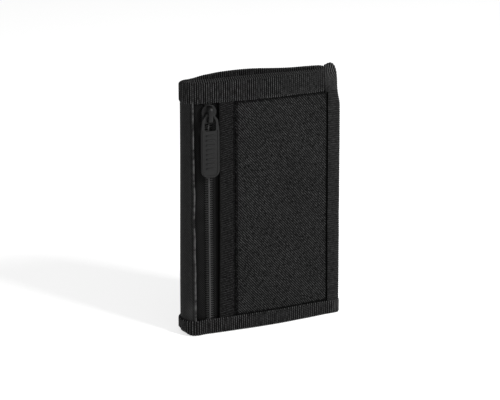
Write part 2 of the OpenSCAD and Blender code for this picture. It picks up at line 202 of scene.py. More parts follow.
Place = Callable[[float, float], Vector]


# ------------------------------------------------------------------ plan of the wallet

class Leaf(Enum):
    """The two leaves, by the side of the middle plane that they lie on."""

    FRONT = -1
    BACK = 1

    @property
    def body(self) -> str:
        """Name of the rigid body that carries the leaf."""
        return "front_leaf" if self is Leaf.FRONT else "back_leaf"

    @property
    def outward(self) -> Vector:
        """Direction that the leaf's outer face looks in."""
        return Vector((0, self.value, 0))


def smooth(t: float) -> float:
    """Smooth step from 0 to 1."""
    t = min(max(t, 0.0), 1.0)
    return t * t * (3 - 2 * t)


def bump(x: float, width: float) -> float:
    """Round hump of height 1 at x = 0 that dies away over width."""
    return math.exp(-(x / width) ** 2)


@dataclass(frozen=True)
class Plan:
    """Sizes of the whole wallet in millimetres, from the frame and, past side_band, from its cloth.

    Attributes:
        centre_x: x of the spine fold's centre line.
        centre_y: y of the middle plane between the leaves.
        fold_r: radius of the spine fold's outer face.
        leaf_len: length of a leaf from the fold's centre line to its free edge.
        height: height of the bindings' top.
        inner_top: height of the inner walls' bindings.
        top_band: height of the top binding that shows.
        bottom_band: height of the bottom binding that shows.
        side_band: width of the free edge's binding that shows.
        belly: how far the middle of a leaf stands out past a straight taper.
        edge_half: half thickness at the free edge.
        tape: thickness of a binding tape.
        cloth: thickness of the shell's cloth.
        lay: play between two layers that lie on each other.
        cut: how far the outer cloths stop short of the wallet's top and bottom.
        shell_gap: how far the shells stop short of the free edge.
        front_wall: distance of the front leaf's inner wall from the middle plane.
        back_wall: the same on the back leaf.
        edge_wall: the same on both leaves at the free edge.
        wall: thickness of an inner wall.
        inner_r: radius of the inner walls on the spine fold.
        inner_run: length over which the inner walls reach their own distance.
    """

    centre_x: float
    centre_y: float
    fold_r: float
    leaf_len: float
    height: float
    inner_top: float
    top_band: float
    bottom_band: float
    side_band: float
    belly: float = 1.4
    edge_half: float = 4.7
    tape: float = 0.6
    cloth: float = 0.7
    lay: float = 0.05
    cut: float = 1.5
    shell_gap: float = 3.2
    front_wall: float = 1.2
    back_wall: float = 2.1
    edge_wall: float = 1.1
    wall: float = 0.6
    inner_r: float = 3.0
    inner_run: float = 12.0

    @classmethod
    def from_frame(cls) -> "Plan":
        """Reads the sizes from the frame's joints and node boxes."""
        joints = {j["name"]: Vector(j["pos_m"]) / MM for j in frame["joints"] if "pos_m" in j}
        back, front = joints["spine_fold"], joints["front_fold"]
        reach = (back.y - front.y) / 2
        edge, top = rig.box("back_edge_tape"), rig.box("back_top_tape")
        centre_x = back.x + reach
        return cls(
            centre_x=centre_x,
            centre_y=(back.y + front.y) / 2,
            fold_r=4 * reach / math.pi,
            leaf_len=edge[1].x / MM - centre_x,
            height=top[1].z / MM,
            inner_top=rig.box("back_inner_top_tape")[1].z / MM,
            top_band=(top[1].z - top[0].z) / MM,
            bottom_band=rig.box("back_bottom_tape")[1].z / MM,
            side_band=(edge[1].x - edge[0].x) / MM,
        )

    @property
    def mid(self) -> float:
        """The s of the spine's middle, halfway round the fold."""
        return -math.pi / 2 * self.fold_r

    @property
    def side_s(self) -> float:
        """The s of the side binding's inner edge."""
        return self.leaf_len - self.side_band

    def half(self, s: float) -> float:
        """Half thickness of the wallet at s, or the fold's radius."""
        if s < 0:
            return self.fold_r
        u = s / self.leaf_len
        return (self.fold_r + 4 * self.belly * u * (1 - u)
                - (self.fold_r - self.edge_half) * u * u)

    def swell(self, leaf: Leaf, s: float, z: float) -> float:
        """Slight unevenness of the sewn cloth: none at the zip, most in the middle of a leaf.

        Args:
            leaf: the side of the middle plane.
            s: place along the leaf.
            z: height.

        Returns:
            How far the cloth stands out, or in if negative.
        """
        start = 10.0 if leaf is Leaf.FRONT else -2.0
        there = smooth((s - start) / 14) * smooth((self.leaf_len - s) / 9)
        place = Vector((s / 26, z / 31, 3.7 * leaf.value))
        return there * (0.3 * noise.noise(place) + 0.12 * noise.noise(place * 3.1))

    def spread(self, s: float, z: float) -> float:
        """How far the spine's cloth stands out round the fold, most at its foot."""
        return smooth((2 - s) / 9) * (0.7 + 1.25 * smooth(1 - z / self.height))

    def skin(self, leaf: Leaf, s: float, z: float, depth: float) -> float:
        """Distance from the middle plane of a layer at a depth below the bindings' surface."""
        return self.half(s) + self.swell(leaf, s, z) + self.spread(s, z) - depth

    def rise(self, leaf: Leaf, s: float) -> float:
        """Unevenness of a leaf's top edge, and its lift towards the free corner.

        Args:
            leaf: the leaf.
            s: place along the leaf.

        Returns:
            How far the edge lies above the wallet's height.
        """
        wave = 0.3 * noise.noise(Vector((s / 17, 2.3 * leaf.value, 0.5)))
        wave *= smooth((self.corner_s - s) / 10)
        if leaf is Leaf.FRONT:
            past = s - self.corner_s
            lift = smooth((past + 10) / 10) + 0.5 * smooth((past + 5) / 5)
            return wave + 0.5 * smooth((s - 30) / 20) + lift
        hump = 1.2 * bump(s - 26, 21) * smooth((s - 2) / 14)
        return wave + hump + 0.3 * smooth((s - 48) / 18) - 1.2 * smooth((8 - s) / 10)

    @property
    def corner_s(self) -> float:
        """The s of the point that the top free corner turns round."""
        return self.leaf_len - self.top_band

    @property
    def corner_z(self) -> float:
        """The height of the point that the top free corner turns round."""
        return self.height - self.top_band

    def corner_reach(self, leaf: Leaf, turn: float) -> float:
        """Distance of the corner's edge from the point that it turns round.

        The edge is a rounded square. On the front leaf it rises to a soft point.

        Args:
            leaf: the leaf.
            turn: angle from upright, in radians.

        Returns:
            The distance.
        """
        squareness, peak_turn, before, after = 3.4, 0.24, 0.24, 0.31
        drawn_in, peak = (3.1, 1.6) if leaf is Leaf.FRONT else (3.6, 0.0)
        wide, tall = self.top_band - drawn_in, self.top_band + self.rise(leaf, self.corner_s)
        sine, cosine = abs(math.sin(turn)) / wide, abs(math.cos(turn)) / tall
        away = turn - peak_turn
        rounded = (sine ** squareness + cosine ** squareness) ** (-1 / squareness)
        return rounded + peak * bump(away, before if away < 0 else after)

    def free_edge(self, z: float) -> float:
        """The s of the free edge at a height: it leans in, and is drawn in under the top tape."""
        inset, lean, draw, draw_run = 0.15, 0.95, 1.3, 8
        drawn = draw * smooth((z - self.corner_z + draw_run) / draw_run)
        return self.leaf_len - inset - lean * z / self.height - drawn

    def edge_line(self, z: float) -> float:
        """The s of the free edge binding's inner edge at a height."""
        inset, lean = 7.55, 1.14
        return self.leaf_len - inset - lean * z / self.height

    def trim(self, leaf: Leaf, s: float, z: float, margin: float) -> tuple[float, float]:
        """Draws a point of a hidden layer in, so that it stays under the corner's binding.

        Args:
            leaf: the leaf.
            s: the point's place along the leaf.
            z: its height.
            margin: how far inside the corner's edge it stays.

        Returns:
            The drawn-in s and z.
        """
        over, above = s - self.corner_s, z - self.corner_z
        if over <= 0 or above <= 0:
            return s, z
        far = math.hypot(over, above)
        most = self.corner_reach(leaf, math.atan2(over, above)) - margin
        share = min(1.0, most / far)
        return self.corner_s + over * share, self.corner_z + above * share

    def wall_at(self, leaf: Leaf, s: float, add: float) -> float:
        """Distance from the middle plane of the bill compartment's inner wall, plus add."""
        base = self.front_wall if leaf is Leaf.FRONT else self.back_wall
        ramp_s, ramp_len = 68, 4
        ramp = min(max((s - ramp_s) / ramp_len, 0), 1)
        run = self.inner_r + (base - self.inner_r) * smooth(s / self.inner_run)
        return run + (self.edge_wall - base) * ramp + add

    def point(self, leaf: Leaf, s: float, out: float, z: float) -> Vector:
        """A point of the wallet in the frame, in metres.

        Args:
            leaf: the side of the middle plane.
            s: place along the leaf, negative on the spine fold.
            out: distance from the middle plane, or radius on the fold.
            z: height.

        Returns:
            The point as a vector.
        """
        if s < 0:
            turn = -s / self.fold_r
            x, y = -out * math.sin(turn), out * math.cos(turn)
        else:
            x, y = s, out
        return Vector((self.centre_x + x, self.centre_y + leaf.value * y, z)) * MM


PLAN = Plan.from_frame()


# ------------------------------------------------------------------ shader writing

class Value:
    """A number output of a shader node, on which ordinary arithmetic writes Math nodes."""

    def __init__(self, ink: "Ink", socket: bpy.types.NodeSocket) -> None:
        """Wraps a socket of a material's node."""
        self.ink = ink
        self.socket = socket

    def _math(self, operation: str, first: object, second: object) -> "Value":
        """One Math node on two values or numbers."""
        return self.ink.node("ShaderNodeMath", {"operation": operation}, {0: first, 1: second})

    def __add__(self, other: object) -> "Value":
        """Sum."""
        return self._math("ADD", self, other)

    def __radd__(self, other: object) -> "Value":
        """Sum with the number first."""
        return self._math("ADD", other, self)

    def __sub__(self, other: object) -> "Value":
        """Difference."""
        return self._math("SUBTRACT", self, other)

    def __rsub__(self, other: object) -> "Value":
        """Difference with the number first."""
        return self._math("SUBTRACT", other, self)

    def __mul__(self, other: object) -> "Value":
        """Product."""
        return self._math("MULTIPLY", self, other)

    def __rmul__(self, other: object) -> "Value":
        """Product with the number first."""
        return self._math("MULTIPLY", other, self)

    def __pow__(self, other: object) -> "Value":
        """Power."""
        return self._math("POWER", self, other)

    def sine(self) -> "Value":
        """Sine of the value, lifted to run from 0 to 1."""
        return self._math("SINE", self, 0.0) * 0.5 + 0.5


class Ink:
    """A material whose nodes are written as expressions."""

    def __init__(self, name: str) -> None:
        """Makes a material of that name with its main shader."""
        self.material = bpy.data.materials.new(name)
        self.material.use_nodes = True
        self.tree = self.material.node_tree
        self.shader = self.tree.nodes["Principled BSDF"]

    def node(self, kind: str, settings: dict, inputs: dict, output: int | str = 0) -> Value:
        """Adds a node of any type.

        Args:
            kind: Blender's name of the node type.
            settings: properties of the node, set before its sockets.
            inputs: values or links by socket name or number.
            output: which output is given back.

        Returns:
            The output as a value.
        """
        made = self.tree.nodes.new(kind)
        for key, what in settings.items():
            setattr(made, key, what)
        for key, what in inputs.items():
            self.feed(made.inputs[key], what)
        return Value(self, made.outputs[output])

    def feed(self, socket: bpy.types.NodeSocket, what: object) -> None:
        """Links a value to a socket, or sets the socket's own number or colour."""
        if isinstance(what, Value):
            self.tree.links.new(what.socket, socket)
        else:
            socket.default_value = what

    def set(self, **sockets: object) -> None:
        """Feeds the main shader's sockets; an underscore in a name stands for a space."""
        for key, what in sockets.items():
            self.feed(self.shader.inputs[key.replace("_", " ")], what)

    def weave_place(self) -> tuple[Value, Value, Value]:
        """The cloth's own coordinates in millimetres: the vector, along and across."""
        uv = self.node("ShaderNodeUVMap", {"uv_map": "weave"}, {}, "UV")
        along = self.node("ShaderNodeSeparateXYZ", {}, {0: uv}, "X")
        across = self.node("ShaderNodeSeparateXYZ", {}, {0: uv}, "Y")
        return uv, along, across

    def wear(self) -> Value:
        """Painted light and shade at each place, with a few lighter patches of the cloth's own; 0 on a piece without
        the attribute.
        """
        return self.node("ShaderNodeAttribute", {"attribute_name": "wear"}, {}, "Fac")

    def object_place(self) -> Value:
        """Coordinates of the frame, in metres."""
        return self.node("ShaderNodeTexCoord", {}, {}, "Object")

    def cloud(self, place: Value, scale: float, detail: float = 2.0) -> Value:
        """Soft noise from 0 to 1."""
        inputs = {"Vector": place, "Scale": scale, "Detail": detail}
        return self.node("ShaderNodeTexNoise", {}, inputs)

    def blend(self, share: Value, low: "Colour", high: "Colour") -> Value:
        """A colour between two, by a share from 0 to 1."""
        return self.node(
            "ShaderNodeMix", {"data_type": "RGBA", "clamp_factor": True},
            {0: share, 6: low.rgba, 7: high.rgba}, 2)

    def relief(self, height: Value, depth: float, strength: float = 1.0) -> Value:
        """A bumped normal from a height in parts of depth, which is in metres."""
        inputs = {"Strength": strength, "Distance": depth, "Height": height}
        return self.node("ShaderNodeBump", {}, inputs)


@dataclass(frozen=True)
class Colour:
    """A grey with a slight warmth or coolness, in linear light."""

    grey: float
    warmth: float = 0.0

    @property
    def rgba(self) -> tuple[float, float, float, float]:
        """The colour as four numbers."""
        return (self.grey * (1 + self.warmth), self.grey, self.grey * (1 - self.warmth), 1.0)


@dataclass(frozen=True)
class Twill:
    """Woven nylon with slanting ridges.

    Attributes:
        angle: slant of the ridges below the level, in degrees.
        pitch: distance between two ridges, in millimetres.
        yarn: distance between the yarns that cross a ridge, in millimetres.
        crisp: how clearly the ridges stand out, from 0 to 1.
        share: how near the ridges come to the light colour where the attribute adds no painted light.
    """

    name: str
    dark: Colour
    light: Colour
    angle: float = 48.0
    pitch: float = 0.92
    yarn: float = 0.6
    crisp: float = 1.0
    share: float = 1.25
    depth: float = 0.16
    roughness: float = 0.62

    def build(self) -> bpy.types.Material:
        """Writes the material."""
        ink = Ink(self.name)
        place, along, across = ink.weave_place()
        sine, cosine = math.sin(math.radians(self.angle)), math.cos(math.radians(self.angle))
        wander = (ink.cloud(place, 0.09) - 0.5) * 5.0 + (ink.cloud(place, 0.8) - 0.5) * 2.4
        over = along * sine + across * cosine
        down = along * cosine - across * sine
        ridge = (over * (math.tau / self.pitch) + wander).sine()
        cross = (down * (math.tau / self.yarn) + wander).sine()
        dash_place = ink.node("ShaderNodeCombineXYZ", {}, {0: down * 0.75, 1: over * 1.7})
        dash = ink.cloud(dash_place, 1.0, 1.0) * 2.4 - 0.65
        grain = ink.cloud(place, 1.7, 3.0)
        height = ridge * 0.62 + ridge * cross * 0.5 + grain * 0.5
        sheen = ink.cloud(place, 0.05) * 0.6 + 0.7
        light_and_wear = ink.wear()
        # The ridges' light colour is partly the weave's own pattern and partly a painted highlight for the yarns'
        # gloss; the dark between them is partly painted shade.
        ridged = ridge ** 2.6 * (cross * 0.5 + 0.5) * dash * self.share
        plain = grain * ((0.5 - 0.5 * self.crisp) * self.share / 1.5)
        shade = (ridged * self.crisp + plain) * sheen
        ink.set(
            Base_Color=ink.blend(shade + light_and_wear, self.dark, self.light),
            Roughness=self.roughness - light_and_wear * 0.2,
            Specular_IOR_Level=0.05,
            Normal=ink.relief(height, self.depth * MM, 1.0),
        )
        return ink.material


@dataclass(frozen=True)
class Grosgrain:
    """Ribbed binding tape; its ribs are in the mesh, and the threads that wrap them are here."""

    name: str
    dark: Colour
    light: Colour
    rib: float = 1.1
    thread: float = 0.42
    bead: float = 1.05
    crisp: float = 1.0
    roughness: float = 0.6

    def build(self) -> bpy.types.Material:
        """Writes the material."""
        ink = Ink(self.name)
        place, along, across = ink.weave_place()
        flat = ink.node(
            "ShaderNodeVectorMath", {"operation": "MULTIPLY"}, {0: place, 1: (1.0, 0.45, 1.0)})
        groove = (along * (math.tau / self.rib) - math.pi / 2).sine()
        patch = ink.cloud(flat, 0.9, 1.0)
        threads = (across * (math.tau / self.thread) + ink.cloud(place, 0.8) * 4.0).sine()
        height = groove * 0.5 + threads * groove * 0.4 + ink.cloud(place, 2.4) * 0.4
        worn = patch * 2.8 - 0.7 + ink.cloud(place, 0.06) * 0.6
        # The dark grooves are partly the tape's own dark valleys and partly painted shade; the attribute below adds
        # painted highlights along crests and corners.
        ribbed = groove ** 4.5 * (self.crisp * 1.3) + (0.32 - 0.32 * self.crisp)
        beads = (across * (math.tau / self.bead) + along * (math.pi / self.rib)).sine()
        wrapped = (threads * 0.3 + 0.7) * (beads * 0.9 * self.crisp + (1 - 0.45 * self.crisp))
        shade = ribbed * wrapped * worn * (ink.wear() + 1) * 0.55
        ink.set(
            Base_Color=ink.blend(shade, self.dark, self.light),
            Roughness=self.roughness,
            Specular_IOR_Level=0.06,
            Normal=ink.relief(height, 0.14 * MM, 1.0),
        )
        return ink.material


@dataclass(frozen=True)
class PlainWeave:
    """Fine flat cloth of crossing yarns, such as lining taffeta and zip tape."""

    name: str
    dark: Colour
    light: Colour
    pitch: float = 0.45
    depth: float = 0.06
    roughness: float = 0.6

    def build(self) -> bpy.types.Material:
        """Writes the material."""
        ink = Ink(self.name)
        place, along, across = ink.weave_place()
        warp = (along * (math.tau / self.pitch)).sine()
        weft = (across * (math.tau / self.pitch) + (ink.cloud(place, 0.6) - 0.5) * 2.0).sine()
        height = warp * weft + (1 - warp) * (1 - weft) + ink.cloud(place, 2.0) * 0.4
        # The attribute adds painted shade, as on the zip tape under the facing's edge.
        shade = height ** 3.0 * (ink.cloud(place, 0.07) * 0.8 + 0.1) * (ink.wear() + 1)
        ink.set(
            Base_Color=ink.blend(shade, self.dark, self.light),
            Roughness=self.roughness,
            Specular_IOR_Level=0.04,
            Normal=ink.relief(height, self.depth * MM, 1.0),
        )
        return ink.material


@dataclass(frozen=True)
class Solid:
    """Metal, rubber, nylon or thread: an even colour with a fine grain, lighter where the attribute paints highlights,
    as on the zip's teeth.
    """

    name: str
    dark: Colour
    light: Colour
    grain: float = 900.0
    depth: float = 0.02
    roughness: float = 0.4
    spread: float = 0.15
    metallic: float = 0.0
    coat: float = 0.0
    gloss: float = 0.2

    def build(self) -> bpy.types.Material:
        """Writes the material."""
        ink = Ink(self.name)
        place = ink.object_place()
        fine = ink.cloud(place, self.grain, 3.0)
        broad = ink.cloud(place, self.grain * 0.12, 2.0)
        ink.set(
            Base_Color=ink.blend(broad * 0.35 + fine * 0.15 + ink.wear(), self.dark, self.light),
            Roughness=broad * self.spread + (self.roughness - self.spread / 2),
            Metallic=self.metallic,
            Specular_IOR_Level=self.gloss,
            Coat_Weight=self.coat,
            Coat_Roughness=0.2,
            Normal=ink.relief(fine, self.depth * MM, 0.6),
        )
        return ink.material


@dataclass(frozen=True)
class Film:
    """Clear vinyl of the identity window, slightly milky, with a soft gloss."""

    name: str

    def build(self) -> bpy.types.Material:
        """Writes the material."""
        ink = Ink(self.name)
        broad = ink.cloud(ink.object_place(), 60.0, 2.0)
        ink.set(
            Base_Color=ink.blend(broad, Colour(0.45, -0.02), Colour(0.6, -0.02)),
            Roughness=broad * 0.12 + 0.05,
            Alpha=0.22,
            Specular_IOR_Level=0.6,
            Normal=ink.relief(broad, 0.4 * MM, 0.35),
        )
        return ink.material


class Finish(Enum):
    """The wallet's finishes, each as the record's slot that it belongs to and its use."""

    SHELL = ("shell_twill", "panels")
    SPINE = ("shell_twill", "spine")
    FACING = ("facing_twill", "strip")
    BINDING = ("binding_grosgrain", "bands")
    SIDE = ("binding_grosgrain", "free edge")
    ZIP_TAPE = ("zip_tape_weave", "tapes")
    COIL = ("zip_coil_nylon", "teeth")
    STOP = ("zip_stop_metal", "stops")
    SLIDER = ("slider_metal", "slider")
    RUBBER = ("puller_rubber", "tab")
    LINING = ("lining_taffeta", "walls")
    WINDOW = ("window_frame_twill", "frame")
    FILM = ("window_film", "film")
    POCKET = ("pocket_twill", "pockets")
    THREAD = ("thread", "seams")

    @property
    def slot(self) -> str:
        """The record's slot."""
        return self.value[0]


RECIPES = {
    # The spine's and the bindings' light colours are set high so that their painted highlights along folds and corners
    # can reach them.
    Finish.SHELL: Twill("shell_twill", Colour(0.0005), Colour(0.060)),
    Finish.SPINE: Twill("shell_twill_spine", Colour(0.002), Colour(0.100), crisp=0.3, share=0.68),
    Finish.FACING: Twill("facing_twill", Colour(0.0005), Colour(0.033), angle=20.0, pitch=0.84,
                         yarn=0.8),
    Finish.BINDING: Grosgrain("binding_grosgrain", Colour(0.0003), Colour(0.070)),
    Finish.SIDE: Grosgrain("binding_grosgrain_side", Colour(0.001), Colour(0.068), crisp=0.3),
    Finish.ZIP_TAPE: PlainWeave("zip_tape_weave", Colour(0.0004), Colour(0.022), pitch=1.1,
                                depth=0.12),
    Finish.COIL: Solid("zip_coil_nylon", Colour(0.004), Colour(0.070), roughness=0.42,
                       depth=0.01, gloss=0.3),
    Finish.STOP: Solid("zip_stop_metal", Colour(0.03), Colour(0.06), metallic=0.7, roughness=0.42),
    Finish.SLIDER: Solid("slider_metal", Colour(0.0025), Colour(0.005), roughness=0.45, gloss=0.22),
    Finish.RUBBER: Solid("puller_rubber", Colour(0.007), Colour(0.015), roughness=0.58, depth=0.04),
    Finish.LINING: PlainWeave("lining_taffeta", Colour(0.006), Colour(0.022), roughness=0.5),
    Finish.WINDOW: Twill("window_frame_twill", Colour(0.006), Colour(0.028), pitch=0.7,
                         yarn=0.5, depth=0.1),
    Finish.FILM: Film("window_film"),
    Finish.POCKET: Twill("pocket_twill", Colour(0.006), Colour(0.030), pitch=0.7, yarn=0.5,
                         depth=0.1),
    Finish.THREAD: Solid("thread", Colour(0.002), Colour(0.006), grain=2500.0, roughness=0.6),
}
MATERIALS = {finish: recipe.build() for finish, recipe in RECIPES.items()}


# ------------------------------------------------------------------ mesh writing

def even(start: float, end: float, step: float) -> list[float]:
    """Evenly spread values from start to end, about step apart."""
    count = max(1, round(abs(end - start) / step))
    return [start + (end - start) * k / count for k in range(count + 1)]


def object_of(mesh: bmesh.types.BMesh, name: str, finish: Finish) -> bpy.types.Object:
    """Turns a bmesh into a smooth-shaded object with its finish and slot.

    Args:
        mesh: the bmesh, which is freed.
        name: the piece's name.
        finish: the piece's finish.

    Returns:
        The object.
    """
    data = bpy.data.meshes.new(name)
    mesh.to_mesh(data)
    mesh.free()
    data.materials.append(MATERIALS[finish])
    data.polygons.foreach_set("use_smooth", [True] * len(data.polygons))
    made = bpy.data.objects.new(name, data)
    bpy.context.scene.collection.objects.link(made)
    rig.slot(made, finish.slot)
    log.info("%s: %d faces, %s", name, len(data.polygons), finish.slot)
    return made


def cloth(name: str, us: Sequence[float], vs: Sequence[float], place: Place, finish: Finish,
          outward: Vector, thickness: float,
          wear: Callable[[float, float], float] | None = None) -> bpy.types.Object:
    """A woven piece: a grid laid over the wallet's form and given its thickness.

    Args:
        name: the piece's name.
        us: stations along the cloth, in millimetres.
        vs: stations across the cloth, in millimetres.
        place: where a station pair lies in the frame.
        finish: the piece's finish.
        outward: direction that the visible face looks in at the last stations' middle.
        thickness: the cloth's thickness, in millimetres.
        wear: painted light and shade at a station pair, lighter above 0 and darker below, with a few patches of the
            cloth's own.

    Returns:
        The object.
    """
    mesh = bmesh.new()
    columns, rows = len(us) - 1, len(vs) - 1
    bmesh.ops.create_grid(mesh, x_segments=columns, y_segments=rows, size=0.5)
    weave = mesh.loops.layers.uv.new("weave")
    light_and_wear = mesh.verts.layers.float.new("wear") if wear else None
    where = {}
    for vert in mesh.verts:
        u = us[round((vert.co.x + 0.5) * columns)]
        v = vs[round((vert.co.y + 0.5) * rows)]
        where[vert.index] = (u, v)
        vert.co = place(u, v)
        if wear:
            vert[light_and_wear] = wear(u, v)
    for face in mesh.faces:
        for loop in face.loops:
            loop[weave].uv = where[loop.vert.index]
    mesh.normal_update()
    u, v = us[len(us) // 2], vs[-1]
    near = min(mesh.faces, key=lambda f: (f.calc_center_median() - place(u, v)).length)
    if near.normal.dot(outward) < 0:
        bmesh.ops.reverse_faces(mesh, faces=mesh.faces[:])
    made = object_of(mesh, name, finish)
    body = made.modifiers.new("thickness", "SOLIDIFY")
    body.thickness = thickness * MM
    body.offset = -1
    return made


def scale_weave(made: bpy.types.Object, along: float = 1.0, across: float = 1.0) -> None:
    """Turns a weave's coordinates from shares of a width into millimetres."""
    for loop in made.data.uv_layers["weave"].data:
        loop.uv.x *= along
        loop.uv.y *= across


def fill_between(mesh: bmesh.types.BMesh, rings: Sequence[Sequence[Vector]]) -> None:
    """Fills the flat face between closed rings of points: an outline and the hole in it."""
    edges = []
    for ring in rings:
        verts = [mesh.verts.new(point) for point in ring]
        edges += [mesh.edges.new(pair) for pair in zip(verts, [*verts[1:], verts[0]])]
    bmesh.ops.triangle_fill(mesh, use_beauty=True, use_dissolve=False, edges=edges)


def thicken(mesh: bmesh.types.BMesh, shift: Vector) -> None:
    """Extrudes a flat mesh by a shift, into a closed plate."""
    grown = bmesh.ops.extrude_face_region(mesh, geom=mesh.faces[:])["geom"]
    bmesh.ops.translate(mesh, vec=shift,
                        verts=[g for g in grown if isinstance(g, bmesh.types.BMVert)])
    bmesh.ops.recalc_face_normals(mesh, faces=mesh.faces[:])


def sharp_edges(mesh: bmesh.types.BMesh, angle: float) -> list[bmesh.types.BMEdge]:
    """The edges where a mesh turns by more than an angle, in radians."""
    return [e for e in mesh.edges if len(e.link_faces) == 2 and e.calc_face_angle(0) > angle]


def round_off(mesh: bmesh.types.BMesh, edges: Sequence[bmesh.types.BMEdge], reach: float,
              segments: int = 3) -> None:
    """Rounds edges off over a reach on both sides of each."""
    bmesh.ops.bevel(mesh, geom=edges, offset=reach, offset_type="OFFSET", segments=segments,
                    profile=0.5, affect="EDGES", material=-1, clamp_overlap=True)


def edges_within(mesh: bmesh.types.BMesh,
                 verts: Sequence[bmesh.types.BMVert]) -> list[bmesh.types.BMEdge]:
    """The edges that join some vertices to each other."""
    return [e for e in mesh.edges if all(v in verts for v in e.verts)]


def skin_rings(mesh: bmesh.types.BMesh, rings: Sequence[list[bmesh.types.BMEdge]]) -> None:
    """Skins a row of edge rings into a rod and closes its two ends."""
    for first, second in zip(rings, rings[1:]):
        bmesh.ops.bridge_loops(mesh, edges=[*first, *second])
    for end in (rings[0], rings[-1]):
        bmesh.ops.holes_fill(mesh, edges=end, sides=0)


def seed_stitch(mesh: bmesh.types.BMesh, place: Matrix, size: Vector) -> None:
    """One visible stitch: a slim bead of thread that dips in at both ends."""
    scale = Matrix.Diagonal((size.x / 2, size.y / 2, size.z / 2, 1))
    bmesh.ops.create_uvsphere(mesh, u_segments=8, v_segments=5, radius=1, matrix=place @ scale)


def frame_matrix(origin: Vector, along: Vector, outward: Vector) -> Matrix:
    """A matrix whose Z runs along a stitch or bead and whose X looks outward."""
    z = along.normalized()
    x = (outward - z * outward.dot(z)).normalized()
    turn = Matrix((x, z.cross(x), z)).transposed().to_4x4()
    return Matrix.Translation(origin) @ turn


@dataclass(frozen=True)
class Thread:
    """Sizes of the sewing thread's visible stitches, in millimetres."""

    length: float = 2.2
    gap: float = 0.8
    width: float = 0.42
    height: float = 0.3

    def row(self, name: str, path: Callable[[float], Vector], start: float, end: float,
            outward: Vector | Callable[[float], Vector]) -> bpy.types.Object:
        """A row of stitches along a path.

        Args:
            name: the piece's name.
            path: the seam's point for a length along it, in metres.
            start: length at which the row starts, in millimetres.
            end: length at which it ends.
            outward: direction that the cloth looks in, or a function of the length.

        Returns:
            One object that holds all the stitches.
        """
        mesh = bmesh.new()
        pitch = self.length + self.gap
        count = int((end - start) / pitch)
        first = start + (end - start - count * pitch + self.gap) / 2
        size = Vector((self.height, self.width, self.length)) * MM
        for k in range(count):
            a, b = first + k * pitch, first + k * pitch + self.length
            low, high = path(a), path(b)
            look = outward((a + b) / 2) if callable(outward) else outward
            seed_stitch(mesh, frame_matrix((low + high) / 2, high - low, look), size)
        return object_of(mesh, name, Finish.THREAD)


STITCH = Thread()


def join(name: str, pieces: Sequence[bpy.types.Object], finish: Finish) -> bpy.types.Object:
    """Joins several simple pieces into one object.

    Args:
        name: the joined piece's name.
        pieces: the pieces, which are removed.
        finish: the joined piece's finish.

    Returns:
        The joined object.
    """
    mesh = bmesh.new()
    for piece in pieces:
        mesh.from_mesh(piece.data)
    for piece in pieces:
        data = piece.data
        bpy.data.objects.remove(piece)
        bpy.data.meshes.remove(data)
    return object_of(mesh, name, finish)


# ------------------------------------------------------------------ how pieces follow the folds

class Fold(Enum):
    """The two fold lines, each with the bodies on its two sides."""

    FRONT = ("spine", "front_leaf", Leaf.FRONT)
    BACK = ("back_leaf", "spine", Leaf.BACK)

    @classmethod
    def of(cls, leaf: Leaf) -> "Fold":
        """The fold line beside a leaf."""
        return cls.FRONT if leaf is Leaf.FRONT else cls.BACK

    def bend(self, piece: bpy.types.Object, low: float, high: float) -> bpy.types.Object:
        """Bends a piece from the spine to the leaf.

        Args:
            piece: the finished piece.
            low: where the bend starts beside the spine, along the fold's diagonal.
            high: where it ends beside the leaf.

        Returns:
            The piece.
        """
        first, second, leaf = self.value
        centre = Vector((PLAN.centre_x, PLAN.centre_y, 0))
        way = Vector((1, leaf.value, 0)).normalized()
        start, end = (centre + way * low) * MM, (centre + way * high) * MM
        if leaf is Leaf.BACK:
            start, end = end, start
        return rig.blend(piece, first, second, start=start, end=end)


def outer_bend(piece: bpy.types.Object, leaf: Leaf) -> bpy.types.Object:
    """Bends an outer layer, from the spine's middle to the cloth beside the zip."""
    return Fold.of(leaf).bend(piece, -3.46, 2.35)


def inner_bend(piece: bpy.types.Object, leaf: Leaf) -> bpy.types.Object:
    """Bends an inner layer over a longer stretch, because it is slack inside the fold."""
    return Fold.of(leaf).bend(piece, -1.9, 6.0)


# ------------------------------------------------------------------ bindings

@dataclass(frozen=True)
class Ribs:
    """Sizes of the grosgrain's ribs, in millimetres."""

    pitch: float = 1.1
    depth: float = 0.3
    samples: int = 6

    def stations(self, start: float, end: float) -> list[float]:
        """Stations that follow the ribs from start to end."""
        return even(start, end, self.pitch / self.samples)

    def groove(self, u: float) -> float:
        """Depth of the surface below the ribs' crests at u."""
        return self.depth * (1 - abs(math.sin(math.pi * u / self.pitch)) ** 0.7)


RIBS = Ribs()


